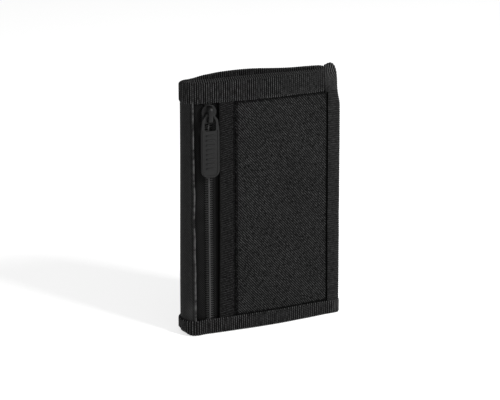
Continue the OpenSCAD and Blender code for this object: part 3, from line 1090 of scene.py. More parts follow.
@dataclass
class Binding:
    """One binding tape, folded round an edge.

    Attributes:
        name: the piece's name.
        leaf: the leaf that it is on.
        start: first length along the tape, in millimetres.
        end: last length.
        edge: the folded edge's (s, z) for a length along the tape.
        inward: unit (s, z) direction from the folded edge to the tape's inner edge.
        reach: width of the tape that shows, for a length along it.
        outer: distance of the outer face from the middle plane at (u, s, z).
        inner: distance of the inner face from the middle plane at (s).
        crest: how far the round fold reaches in from the edge.
        inner_reach: width of the tape on its inner face.
        finish: the tape's finish.
        painted_brightening: painted light, how much lighter the tape is coloured for a length along it.
    """

    name: str
    leaf: Leaf
    start: float
    end: float
    edge: Callable[[float], tuple[float, float]]
    inward: Callable[[float], tuple[float, float]]
    reach: Callable[[float], float]
    outer: Callable[[float, float, float], float]
    inner: Callable[[float], float]
    crest: Callable[[float], float]
    inner_reach: float
    finish: Finish = Finish.BINDING
    painted_brightening: Callable[[float], float] = lambda u: 0.0

    def wear(self, u: float, v: float) -> float:
        """How much lighter the tape is coloured: a painted highlight along its crest, a lighter woven edge, and the
        painted light given along its length.
        """
        crest = 2.0 * bump(abs(v) - 0.35, 0.35)
        selvedge = 0.7 * bump(v - 1.97, 0.05)
        return crest + selvedge + self.painted_brightening(u)

    def place(self, u: float, v: float) -> Vector:
        """A point of the tape.

        Args:
            u: length along the tape.
            v: -2 to -1 on the inner face, -1 to 1 round the fold, 1 to 2 on the outer face.

        Returns:
            The point in the frame.
        """
        sink = RIBS.groove(u)
        reach, crest = self.reach(u), self.crest(u)
        edge_s, edge_z = self.edge(u)
        way_s, way_z = self.inward(u)
        if abs(v) <= 1:
            turn = v * math.pi / 2
            into = crest * (1 - math.cos(turn)) + sink * math.cos(turn)
            share = math.sin(turn)
        elif v > 1:
            into = crest + (v - 1) * (reach - crest)
            share = 1.0
        else:
            into = crest + (-v - 1) * (self.inner_reach - crest)
            share = -1.0
        s, z = edge_s + way_s * into, edge_z + way_z * into
        s = min(max(s, PLAN.mid), PLAN.leaf_len + 1)
        hem = 0.4 * smooth((v - 1.9) / 0.1)
        outer = self.outer(u, s, z) - sink * max(share, 0.0) - hem
        inner = self.inner(s) + sink * max(-share, 0.0)
        out = (outer + inner) / 2 + (outer - inner) / 2 * share
        return PLAN.point(self.leaf, s, out, z)

    def build(self) -> bpy.types.Object:
        """Builds the tape's mesh."""
        inner_rows = [-2.0, -1.97, -1.6, -1.3]
        fold_rows = even(-1.0, 1.0, 0.2)
        outer_rows = [1.08, 1.25, 1.45, 1.65, 1.8, 1.88, 1.93, 1.97, 2.0]
        vs = [*inner_rows, *fold_rows, *outer_rows]
        made = cloth(self.name, RIBS.stations(self.start, self.end), vs, self.place,
                     self.finish, self.leaf.outward, PLAN.tape, self.wear)
        scale_weave(made, across=max(self.reach(self.start), 1.0))
        return made


@dataclass
class Bindings:
    """All binding tapes of one leaf, with the halves that go round the spine."""

    leaf: Leaf

    @property
    def tag(self) -> str:
        """Word that the piece names start with."""
        return self.leaf.name.lower()

    def hem_depth(self, s: float) -> float:
        """Depth at which the top tape's hidden side lies below its outer face."""
        if self.leaf is Leaf.BACK:
            return 2.05
        return 2.7 - 0.65 * smooth((s - 14) / 4)

    def flare(self, s: float, most: float) -> float:
        """How far a tape stands proud round the spine."""
        return most * smooth((3 - s) / 9)

    def top(self) -> bpy.types.Object:
        """The top tape: round the spine, along the top and down round the free corner."""
        band, turn_s, pivot_z = PLAN.top_band, PLAN.corner_s, PLAN.corner_z
        turn_len = 16.5

        def angle(u: float) -> float:
            """How far the tape has turned round the corner, in radians."""
            return max(0.0, (u - turn_s) / turn_len) * math.pi / 2

        def radius(turn: float) -> float:
            """Distance of the folded edge from the point that the tape turns round."""
            return PLAN.corner_reach(self.leaf, turn)

        def edge(u: float) -> tuple[float, float]:
            """The folded edge: straight along the top, then round the corner."""
            if u <= turn_s:
                return u, PLAN.height + PLAN.rise(self.leaf, u)
            turn = angle(u)
            return turn_s + radius(turn) * math.sin(turn), pivot_z + radius(turn) * math.cos(turn)

        def inward(u: float) -> tuple[float, float]:
            """Direction from the folded edge to the tape's inner edge."""
            turn = angle(u)
            return -math.sin(turn), -math.cos(turn)

        def reach(u: float) -> float:
            """Width that shows: the band's, then up to the corner's turning point."""
            turn = angle(u)
            if turn <= 0:
                return band + PLAN.rise(self.leaf, u) + 0.15 * noise.noise(Vector((u / 9, 7.1, 0)))
            return radius(turn) - 0.35

        def outer(u: float, s: float, z: float) -> float:
            """The outer face, which stands a little proud at the corner."""
            proud = 0.35 * smooth((u - turn_s) / turn_len)
            return PLAN.skin(self.leaf, s, z, self.flare(s, 0.35) - proud)

        def inner(s: float) -> float:
            """The hidden face, above the layers that the tape holds."""
            return PLAN.half(s) - self.hem_depth(s) + 0.5 * self.flare(s, 0.8)

        def crest(u: float) -> float:
            """Reach of the round fold, which grows round the corner."""
            return 1.0 + 1.6 * smooth((u - turn_s) / 9)

        # Painted light: the tape round the free corner is coloured lighter where it turns towards the lamp.
        tape = Binding(f"{self.tag}_top_tape", self.leaf, PLAN.mid, turn_s + turn_len,
                       edge, inward, reach, outer, inner, crest, band - 1,
                       painted_brightening=lambda u: 1.9 * smooth((u - turn_s + 1) / 3))
        made = tape.build()
        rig.replaces(made, f"{self.tag}_top_tape", *self.spine_nodes("spine_top_tape"))
        return outer_bend(made, self.leaf)

    def spine_nodes(self, *names: str) -> tuple[str, ...]:
        """Nodes of the spine that the front leaf's pieces stand for."""
        return names if self.leaf is Leaf.FRONT else ()

    def bottom(self) -> bpy.types.Object:
        """The bottom tape: round the spine and along the bottom, closed at the free corner."""
        nose, corner = 1.6, 1.3

        def edge(u: float) -> tuple[float, float]:
            """The folded edge: level, curled up at both of its ends."""
            over = max(0.0, u - (PLAN.leaf_len - corner))
            lift = corner - math.sqrt(max(corner ** 2 - over ** 2, 0.0))
            curl = 2.4 * smooth((-u - 3) / 8) ** 2
            return u, lift + curl

        def reach(u: float) -> float:
            """Width that shows, a little less towards the free corner."""
            full = PLAN.bottom_band - 0.7 * smooth((u - 50) / 25)
            return full - edge(u)[1] + 0.12 * noise.noise(Vector((u / 8, 3.3, 0)))

        def closing(s: float) -> float:
            """How far the tape's two faces are apart at the nose, as a share."""
            over = min(max(0.0, (s - (PLAN.leaf_len - nose)) / nose), 0.999)
            return math.sqrt(1 - over * over)

        def outer(u: float, s: float, z: float) -> float:
            """The outer face, which rounds in to the middle at the nose."""
            face = PLAN.skin(self.leaf, s, z, -self.flare(s, 0.1) - 0.25 * smooth((s - 66) / 6))
            middle = (PLAN.half(s) + self.wall_face(s)) / 2
            return middle + (face - middle) * closing(s)

        def inner(s: float) -> float:
            """The inner face, which rounds out to the middle at the nose."""
            middle = (PLAN.half(s) + self.wall_face(s)) / 2
            return middle + (self.wall_face(s) - middle) * closing(s)

        # Painted light: the tape is coloured lighter at the free corner, where it rounds towards the lamp.
        tape = Binding(f"{self.tag}_bottom_tape", self.leaf, PLAN.mid, PLAN.leaf_len,
                       edge, lambda u: (0.0, 1.0), reach, outer, inner, lambda u: 0.8,
                       PLAN.bottom_band - 0.5, painted_brightening=lambda u: 1.4 * smooth((u - 69) / 4))
        made = tape.build()
        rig.replaces(made, f"{self.tag}_bottom_tape", *self.spine_nodes("spine_bottom_tape"))
        return outer_bend(made, self.leaf)

    def wall_face(self, s: float) -> float:
        """Distance of the bindings' inner faces from the middle plane."""
        return PLAN.wall_at(self.leaf, s, -PLAN.tape - PLAN.lay)

    def side(self) -> bpy.types.Object:
        """The tape down the free edge, from the top tape's end to the bottom tape."""
        low, high = PLAN.bottom_band - 1.2, PLAN.height - PLAN.top_band + 1.4

        def edge(u: float) -> tuple[float, float]:
            """The folded edge, slightly uneven."""
            wave = 0.25 * noise.noise(Vector((u / 12, 5.0 * self.leaf.value, 1.5)))
            return PLAN.free_edge(u) + wave * 0.5, u

        def outer(u: float, s: float, z: float) -> float:
            """The outer face: crowned across, and tucked under the other tapes at its ends."""
            across = (PLAN.free_edge(z) - s) / PLAN.side_band
            crown = 0.25 * math.sin(math.pi * min(max(across, 0), 1))
            tuck = 0.5 * smooth((u - (high - 2.2)) / 1.2) + 0.45 * smooth((low + 1.6 - u) / 0.9)
            return PLAN.skin(self.leaf, s, z, tuck - crown)

        tape = Binding(f"{self.tag}_edge_tape", self.leaf, low, high, edge,
                       lambda u: (-1.0, 0.0), lambda u: PLAN.free_edge(u) - PLAN.edge_line(u),
                       outer, self.wall_face, lambda u: 1.8, PLAN.side_band - 1.5, Finish.SIDE)
        made = tape.build()
        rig.replaces(made, f"{self.tag}_edge_tape")
        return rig.ride(made, self.leaf.body)

    def inner_top(self) -> bpy.types.Object:
        """The tape that binds the top edge of the bill compartment's inner wall."""
        half = PLAN.wall / 2 + PLAN.lay + PLAN.tape

        def rise(u: float) -> float:
            """Unevenness of the folded edge."""
            return 0.25 * noise.noise(Vector((u / 15, 9.0 * self.leaf.value, 0.2)))

        def middle(s: float) -> float:
            """Distance of the wall's middle from the middle plane."""
            return PLAN.wall_at(self.leaf, s, PLAN.wall / 2)

        # Painted light: the inner tape is coloured lighter all along, where it lies in shade between the leaves.
        tape = Binding(
            f"{self.tag}_inner_top_tape", self.leaf, PLAN.mid, PLAN.leaf_len - 6.0,
            lambda u: (u, PLAN.inner_top + rise(u) - 1.5 * smooth((u - PLAN.leaf_len + 11) / 5)),
            lambda u: (0.0, -1.0),
            lambda u: PLAN.top_band - 1, lambda u, s, z: middle(s) + half,
            lambda s: middle(s) - half, lambda u: 0.75, PLAN.top_band - 1,
            painted_brightening=lambda u: 1.6)
        made = tape.build()
        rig.replaces(made, f"{self.tag}_inner_top_tape", *self.spine_nodes("spine_inner_top_tape"))
        return inner_bend(made, self.leaf)

    def stitches(self) -> None:
        """The rows of stitches that hold the tapes, one along each tape's inner edge."""
        leaf, edge_in = self.leaf, 1.5
        low_z, high_z = PLAN.bottom_band - edge_in, PLAN.height - PLAN.top_band + edge_in
        side = PLAN.side_s + edge_in

        def at(s: float, z: float) -> Vector:
            """A point just below the tapes' outer faces."""
            return PLAN.point(leaf, s, PLAN.skin(leaf, s, z, 0.06), z)

        rows = [
            STITCH.row("r1", lambda u: at(u, high_z), 1.0, PLAN.leaf_len - 10, leaf.outward),
            STITCH.row("r2", lambda u: at(u, low_z), 1.0, PLAN.leaf_len - 4, leaf.outward),
            STITCH.row("r3", lambda u: at(side, u), low_z + 2, high_z - 2, leaf.outward),
        ]
        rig.ride(join(f"{self.tag}_binding_stitches", rows, Finish.THREAD), leaf.body)

    def build(self) -> None:
        """Builds every tape of the leaf."""
        length = (PLAN.leaf_len - PLAN.mid) * MM
        for made, flat in (
            (self.top(), (0.0227, length + 0.006)),
            (self.bottom(), (0.0215, length)),
            (self.side(), (0.0215, 0.111)),
            (self.inner_top(), (0.0208, length)),
        ):
            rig.sheet(made, flat=flat, held="folded", rests_on=[f"{self.tag}_shell"])
        self.stitches()


# ------------------------------------------------------------------ outer shells

@dataclass
class BackShell:
    """The back leaf's shell, one piece from the middle of the spine to the free edge."""

    def build(self) -> bpy.types.Object:
        """Builds the shell."""
        low, high = PLAN.cut, PLAN.height - PLAN.cut

        def place(u: float, v: float) -> Vector:
            """A point of the outer face, lower beside the bindings."""
            dip = 0.2 * smooth((u - PLAN.side_s + 2) / 2)
            sink = 0.2 * smooth(-u / 3)
            s, z = PLAN.trim(Leaf.BACK, u, v, 1.6)
            return PLAN.point(Leaf.BACK, s, PLAN.skin(Leaf.BACK, s, z, 0.68 + dip + sink), z)

        end = PLAN.leaf_len - PLAN.shell_gap
        made = cloth("back_shell", even(PLAN.mid, end, 0.8), even(low, high, 1.5), place,
                     Finish.SHELL, Leaf.BACK.outward, PLAN.cloth)
        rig.replaces(made, "back_panel", "spine_panel")
        width = (end - PLAN.mid) * MM
        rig.sheet(made, flat=(width, (high - low) * MM), held="stretched",
                 rests_on=["back_edge_tape", "back_bottom_tape"])
        return outer_bend(made, Leaf.BACK)


@dataclass
class FrontShell:
    """The front leaf's outside: the spine strip, the facing strip and the main panel.

    Attributes:
        fold_s: the s of the spine strip's folded edge beside the zip.
        row_pitch: distance between the seam's two rows of stitches.
        depth: depth of the shell's face below the bindings' surface.
        facing_depth: the same for the facing, which lies on the panel's edge.
    """

    fold_s: float = -3.9
    row_pitch: float = 2.8
    depth: float = 0.68
    facing_depth: float = 0.66

    def __post_init__(self) -> None:
        """Takes the facing's folded edge and its seam from the frame."""
        low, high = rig.box("zip_facing")
        self.facing_s = low.x / MM - PLAN.centre_x
        self.seam_s = high.x / MM - PLAN.centre_x
        self.low, self.high = PLAN.cut, PLAN.height - PLAN.cut

    def pinch(self, s: float) -> float:
        """Depth that the seam and its two rows of stitches pull the cloth down by."""
        half = self.row_pitch / 2
        rows = bump(s - self.seam_s + half, 0.45) + bump(s - self.seam_s - half, 0.45)
        between = smooth((s - self.seam_s + half) / 0.6) * smooth((self.seam_s + half - s) / 0.6)
        return 0.2 * rows + 0.14 * between + 0.28 * bump(s - self.seam_s, 0.22)

    def shadow(self, s: float, z: float) -> float:
        """How much darker the panel is in its crease beside the bindings."""
        beside = bump(s - PLAN.edge_line(z) + 0.25, 0.55)
        below = bump(z - PLAN.height + PLAN.top_band + 0.5, 0.6)
        above = bump(z - PLAN.bottom_band - 0.2, 0.6)
        return -1.1 * max(beside, 0.7 * above, 0.5 * below)

    def channel_shade(self, s: float) -> float:
        """Painted shade: how much darker the cloth is coloured in the recess between the rows of stitches."""
        half = self.row_pitch / 2 + 0.2
        near, far = s - self.seam_s + half, self.seam_s + half - s
        return -0.3 * smooth(near / 0.5) * smooth(far / 0.5)

    def face(self, s: float, z: float) -> Vector:
        """A point of the shell's outer face."""
        return self.surface(s, z, self.depth)

    def surface(self, s: float, z: float, depth: float) -> Vector:
        """A point of the front leaf's outer layers.

        Args:
            s: place along the leaf.
            z: height.
            depth: depth below the bindings' surface.

        Returns:
            The point in the frame.
        """
        dip = 0.3 * smooth((s - PLAN.edge_line(z) + 1.2) / 1.2)
        sink = 0.2 * smooth((self.fold_s + 1.5 - s) / 3)
        s, z = PLAN.trim(Leaf.FRONT, s, z, 1.6)
        out = PLAN.skin(Leaf.FRONT, s, z, depth + self.pinch(s) + dip + sink)
        return PLAN.point(Leaf.FRONT, s, out, z)

    def panel(self) -> bpy.types.Object:
        """The main panel, from the seam to the free edge."""
        from_seam = (0.04, 0.12, 0.25, 0.45, 0.7, 1.0, 1.3, 1.6, 1.9, 2.3, 2.8)
        crease = PLAN.edge_line(0)
        us = [*[self.seam_s + k for k in from_seam],
              *even(self.seam_s + 3.5, crease - 3.0, 1.0),
              *even(crease - 2.7, crease + 0.9, 0.3),
              *even(crease + 1.5, PLAN.leaf_len - PLAN.shell_gap, 0.8)]
        top, foot = PLAN.height - PLAN.top_band, PLAN.bottom_band
        vs = [*even(self.low, foot - 1, 1.2)[:-1], *even(foot - 1, foot + 2, 0.3)[:-1],
              *even(foot + 2, top - 2, 1.2)[:-1], *even(top - 2, top + 1, 0.3)[:-1],
              *even(top + 1, self.high, 1.2)]
        # The attribute carries painted shade: darker in the channel between the stitch rows and in the creases beside
        # the bindings.
        made = cloth("front_shell", us, vs, self.face, Finish.SHELL, Leaf.FRONT.outward,
                     PLAN.cloth, lambda u, v: self.channel_shade(u) + self.shadow(u, v))
        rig.replaces(made, "front_panel")
        width = (us[-1] - us[0]) * MM
        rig.sheet(made, flat=(width, (self.high - self.low) * MM), held="stretched",
                 rests_on=["front_edge_tape", "front_bottom_tape"])
        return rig.ride(made, Leaf.FRONT.body)

    def facing(self) -> bpy.types.Object:
        """The facing strip: folded under beside the zip and sewn to the panel at its seam."""
        curl_r, tuck, top = 0.36, 3.0, self.facing_depth

        def place(u: float, v: float) -> Vector:
            """A point: u from 0 to 1 on the face, -1 to 0 round the fold, to -2 tucked under."""
            wave = 0.1 * noise.noise(Vector((v / 9, 4.4, 0)))
            bow = 0.4 * math.sin(math.pi * v / PLAN.height) - 0.4 * smooth(1 - v / PLAN.height)
            lip = self.facing_s + curl_r + wave + bow
            if u >= 0:
                s = lip + u * (self.seam_s - 0.04 - lip)
                rise = 0.12 * bump(u * 8.0 - 0.6, 1.2)
                return self.surface(s, v, top - rise)
            if u >= -1:
                turn = -u * math.pi
                return self.surface(lip - curl_r * math.sin(turn), v,
                                    top + curl_r * (1 - math.cos(turn)) - 0.12 * bump(0.6, 1.2))
            return self.surface(lip + (-u - 1) * tuck, v, top + 2 * curl_r)

        def wear(u: float, v: float) -> float:
            """Painted shade: how much darker the strip is coloured in the recess beside its seam."""
            return self.channel_shade(self.facing_s + u * (self.seam_s - self.facing_s)) if u > 0 else 0.0

        us = [-2.0, -1.5, *even(-1.0, 0.0, 0.125)[:-1], *even(0.0, 0.5, 0.06)[:-1],
              *even(0.5, 1.0, 0.02)]
        made = cloth("zip_facing", us, even(self.low, self.high, 1.0), place, Finish.FACING,
                     Leaf.FRONT.outward, 0.3, wear)
        scale_weave(made, along=self.seam_s - self.facing_s)
        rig.replaces(made, "zip_facing")
        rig.sheet(made, flat=(0.0121, (self.high - self.low) * MM), held="folded",
                 rests_on=["front_shell", "front_bottom_tape"])
        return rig.ride(made, Leaf.FRONT.body)

    def strip(self) -> bpy.types.Object:
        """The spine's shell, from the middle of the fold to its folded edge beside the zip."""
        curl_r, tuck, top = 0.55, 1.6, 0.32

        def lip(v: float) -> float:
            """The s where the fold beside the zip starts: uneven, and further on at the foot."""
            slow = 0.3 * noise.noise(Vector((v / 13, 6.1, 0)))
            quick = 0.12 * noise.noise(Vector((v / 3.1, 1.1, 0)))
            return self.fold_s - curl_r + slow + quick + 0.18 + 0.6 * (1 - v / PLAN.height)

        def place(u: float, v: float) -> Vector:
            """A point: u from 0 to 1 on the face, 1 to 2 round the fold, to 3 tucked under."""
            end = lip(v)
            if u <= 1:
                s = PLAN.mid + u * (end - PLAN.mid)
                crown = 0.36 * bump((1 - u) * 8, 0.9)
                return self.surface(s, v, self.depth - crown)
            if u <= 2:
                turn = (u - 1) * math.pi
                return self.surface(end + curl_r * math.sin(turn), v,
                                    top + curl_r * (1 - math.cos(turn)))
            return self.surface(end - (u - 2) * tuck, v, top + 2 * curl_r)

        def wear(u: float, v: float) -> float:
            """Painted highlight in broken patches along the fold, where it turns to the lamp; also a lighter patch at
            the foot and a thin darker line before the fold.
            """
            fine = noise.noise(Vector((v / 1.1, 0.3, 5.5)))
            broad = noise.noise(Vector((v / 9, 3.3, 2.2)))
            foot = 0.1 * bump(v - 13, 5) * bump(u - 0.75, 0.3)
            seam = -0.1 * bump(u - 0.88, 0.04)
            return max(0.0, 0.9 + 1.8 * fine + 0.6 * broad) * bump(u - 1.15, 0.12) + foot + seam

        us = [*even(0.0, 0.7, 0.07)[:-1], *even(0.7, 1.0, 0.025)[:-1], *even(1.0, 2.0, 0.1),
              2.5, 3.0]
        made = cloth("spine_strip", us, even(self.low, self.high, 0.8), place, Finish.SPINE,
                     Leaf.FRONT.outward, 0.36, wear)
        scale_weave(made, along=self.fold_s - PLAN.mid)
        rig.replaces(made, "spine_side_facing")
        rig.sheet(made, flat=(0.0106, (self.high - self.low) * MM), held="folded",
                 rests_on=["front_bottom_tape", "zip_tape_left"])
        return outer_bend(made, Leaf.FRONT)

    def stitches(self) -> bpy.types.Object:
        """The two rows of topstitching at the facing's seam."""
        low, high = PLAN.bottom_band + 0.5, PLAN.height - PLAN.top_band - 0.5
        rows = []
        for name, side in (("near_row", -1), ("far_row", 1)):
            s = self.seam_s + side * self.row_pitch / 2
            rows.append(STITCH.row(name, lambda u, s=s: self.surface(s, u, 0.62), low, high,
                                   Leaf.FRONT.outward))
        made = join("facing_topstitch_thread", rows, Finish.THREAD)
        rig.replaces(made, "facing_topstitch")
        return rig.ride(made, Leaf.FRONT.body)

    def build(self) -> None:
        """Builds the front leaf's outside."""
        self.panel()
        self.facing()
        self.strip()
        self.stitches()


# ------------------------------------------------------------------ coin pocket and zip

@dataclass
class Zip:
    """The closed zip: two woven tapes, two coils of nylon teeth and the stops.

    Attributes:
        centre_s: the s of the zip's middle.
        pitch: distance between two teeth of a coil.
        half_width: width of a coil beside the zip's middle.
        overlap: how far a tooth's head reaches past the middle.
        tooth_r: half thickness of a tooth.
        slant: how much higher a tooth's head is than its heel.
        tape_depth: depth of the tapes below the bindings' surface.
        left_span: the left tape's edges, as s.
        right_span: the right tape's edges.
    """

    centre_s: float = 3.7
    pitch: float = 1.13
    half_width: float = 2.05
    overlap: float = 0.42
    tooth_r: float = 0.27
    slant: float = 0.16
    tape_depth: float = 1.72
    left_span: tuple[float, float] = (-5.6, 3.4)
    right_span: tuple[float, float] = (4.2, 13.0)

    def __post_init__(self) -> None:
        """Finds the zip's tilted frame from the plan."""
        slope = (PLAN.half(self.centre_s + 0.1) - PLAN.half(self.centre_s - 0.1)) / 0.2
        self.tilt = math.atan(slope)
        self.low, self.high = (v.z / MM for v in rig.box("zip_coil_left"))

    def point(self, x: float, y: float, z: float) -> Vector:
        """A point in the zip's frame: x across the zip, y into the wallet, z up."""
        sine, cosine = math.sin(self.tilt), math.cos(self.tilt)
        return Vector((
            PLAN.centre_x + self.centre_s + x * cosine + y * sine,
            PLAN.centre_y - PLAN.half(self.centre_s) - x * sine + y * cosine,
            z)) * MM

    @property
    def outward(self) -> Vector:
        """Direction that the zip looks in."""
        return (self.point(0, -1, 0) - self.point(0, 0, 0)).normalized()

    def tape(self, name: str, start: float, end: float) -> bpy.types.Object:
        """One woven tape of the zip, with a thicker edge beside the teeth."""
        low, high = PLAN.cut, PLAN.height - PLAN.cut

        def place(u: float, v: float) -> Vector:
            """A point of the tape, slightly rippled."""
            edge = min(abs(u - start), abs(u - end))
            bead = 0.1 * bump(edge - 0.4, 0.4)
            ripple = 0.05 * noise.noise(Vector((u / 2, v / 6, 2)))
            out = PLAN.half(u) - self.tape_depth + bead * 0.5 + ripple
            return PLAN.point(Leaf.FRONT, u, out, v)

        # Painted shadow: the tape is coloured darker where it lies under the facing's folded edge.
        made = cloth(name, even(start, end, 0.4), even(low, high, 1.5), place, Finish.ZIP_TAPE,
                     Leaf.FRONT.outward, 0.33, lambda u, v: -smooth((u - 6.9) / 0.8))
        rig.replaces(made, name)
        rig.sheet(made, flat=(max(0.01, (end - start) * MM), (high - low) * MM), held="stretched",
                 area=max(0.3 * 0.01 * (high - low) * MM, (end - start) * (high - low) * MM * MM),
                 rests_on=["front_bottom_tape"])
        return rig.ride(made, Leaf.FRONT.body)

    def coil(self, name: str, side: int) -> bpy.types.Object:
        """One coil: a tooth for each turn, with its head at the zip's middle."""
        mesh = bmesh.new()
        light_and_wear = mesh.verts.layers.float.new("wear")
        length, reach, thick = self.half_width - 0.02, self.overlap, self.tooth_r
        first = self.low + (0.3 if side < 0 else 0.3 + self.pitch / 2)
        count = int((self.high - first) / self.pitch)
        for k in range(count + 1):
            tooth = bmesh.ops.create_uvsphere(mesh, u_segments=8, v_segments=7, radius=1)["verts"]
            z0 = first + k * self.pitch
            for vert in tooth:
                x, y, z = vert.co.z, vert.co.x, vert.co.y
                along = (x + 1) / 2
                head = 1 + 0.35 * bump(along, 0.22)
                place_x = side * (along * (length + reach) - reach)
                place_y = 0.92 + 0.36 * along ** 1.6 - 0.16 * bump(along, 0.3) + y * thick * head
                place_z = z0 + z * thick * head + self.slant * (1 - along)
                vert.co = self.point(place_x, place_y, place_z)
                # Painted highlight: each tooth is coloured lighter at its head, in the zip's middle.
                vert[light_and_wear] = bump(along - 0.04, 0.13)
        made = object_of(mesh, name, Finish.COIL)
        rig.replaces(made, name)
        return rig.ride(made, Leaf.FRONT.body)

    def cord(self, name: str, side: int) -> bpy.types.Object:
        """The sewing thread that holds a coil to its tape: a slim twisted line."""
        def path(u: float) -> Vector:
            """The thread's point at a height."""
            return self.point(side * 1.35, 1.02, u)

        thread = Thread(length=self.pitch * 0.94, gap=self.pitch * 0.06, width=0.34, height=0.34)
        made = thread.row(name, path, self.low + 0.2, self.high, self.outward)
        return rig.ride(made, Leaf.FRONT.body)

    def stops(self) -> None:
        """Dresses the stops, which lie hidden under the bindings, as small clamped pieces."""
        for node in ("zip_top_stops", "zip_bottom_stop"):
            dress(node, Finish.STOP, 0.12)

    def build(self) -> None:
        """Builds the zip."""
        self.tape("zip_tape_left", *self.left_span)
        self.tape("zip_tape_right", *self.right_span)
        for word, side in (("left", -1), ("right", 1)):
            self.coil(f"zip_coil_{word}", side)
            self.cord(f"zip_coil_{word}_thread", side)
        self.stops()


def dress(node: str, finish: Finish, width: float) -> bpy.types.Object:
    """Rounds the edges of a copy of a hard CAD piece and gives it its finish.

    Args:
        node: the CAD node that the copy stands for.
        finish: the copy's finish.
        width: how far the rounding reaches, in millimetres.

    Returns:
        The copy, riding on the node's body.
    """
    mesh = bmesh.new()
    mesh.from_mesh(frame["nodes"][node].data)
    bmesh.ops.remove_doubles(mesh, verts=mesh.verts[:], dist=0.002 * MM)
    bmesh.ops.dissolve_limit(mesh, angle_limit=math.radians(2), verts=mesh.verts[:],
                             edges=mesh.edges[:])
    round_off(mesh, sharp_edges(mesh, 0.5), width * MM, 2)
    bmesh.ops.recalc_face_normals(mesh, faces=mesh.faces[:])
    made = object_of(mesh, f"{node}_finished", finish)
    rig.replaces(made, node)
    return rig.ride(made, frame["nodes"][node]["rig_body"])


@dataclass
class Lining:
    """The coin pocket's lining, held behind the zip's tapes."""

    def build(self) -> bpy.types.Object:
        """Builds the lining."""
        low, high = PLAN.bottom_band + 0.2, PLAN.height - PLAN.top_band - 0.2
        start, end = -4.6, 69.0

        def place(u: float, v: float) -> Vector:
            """A point: close behind the shell at its ends, and lower in between."""
            rise = smooth((u + 5) / 3)
            fall = smooth((PLAN.side_s - u) / 8)
            wrinkle = 0.12 * noise.noise(Vector((u / 7, v / 12, 8)))
            depth = 1.5 + 0.65 * (1 if u < 13 else rise * fall) + (1.2 + wrinkle) * rise * fall
            return PLAN.point(Leaf.FRONT, u, PLAN.half(u) - depth, v)

        made = cloth("coin_pocket_lining", even(start, end, 1.2), even(low, high, 2.0), place,
                     Finish.LINING, Leaf.FRONT.outward, 0.25)
        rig.replaces(made, "coin_pocket_lining")
        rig.sheet(made, flat=((end - start) * MM, (high - low) * MM), held="hung",
                 rests_on=["zip_tape_left", "zip_tape_right"])
        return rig.ride(made, Leaf.FRONT.body)


# ------------------------------------------------------------------ slider and puller

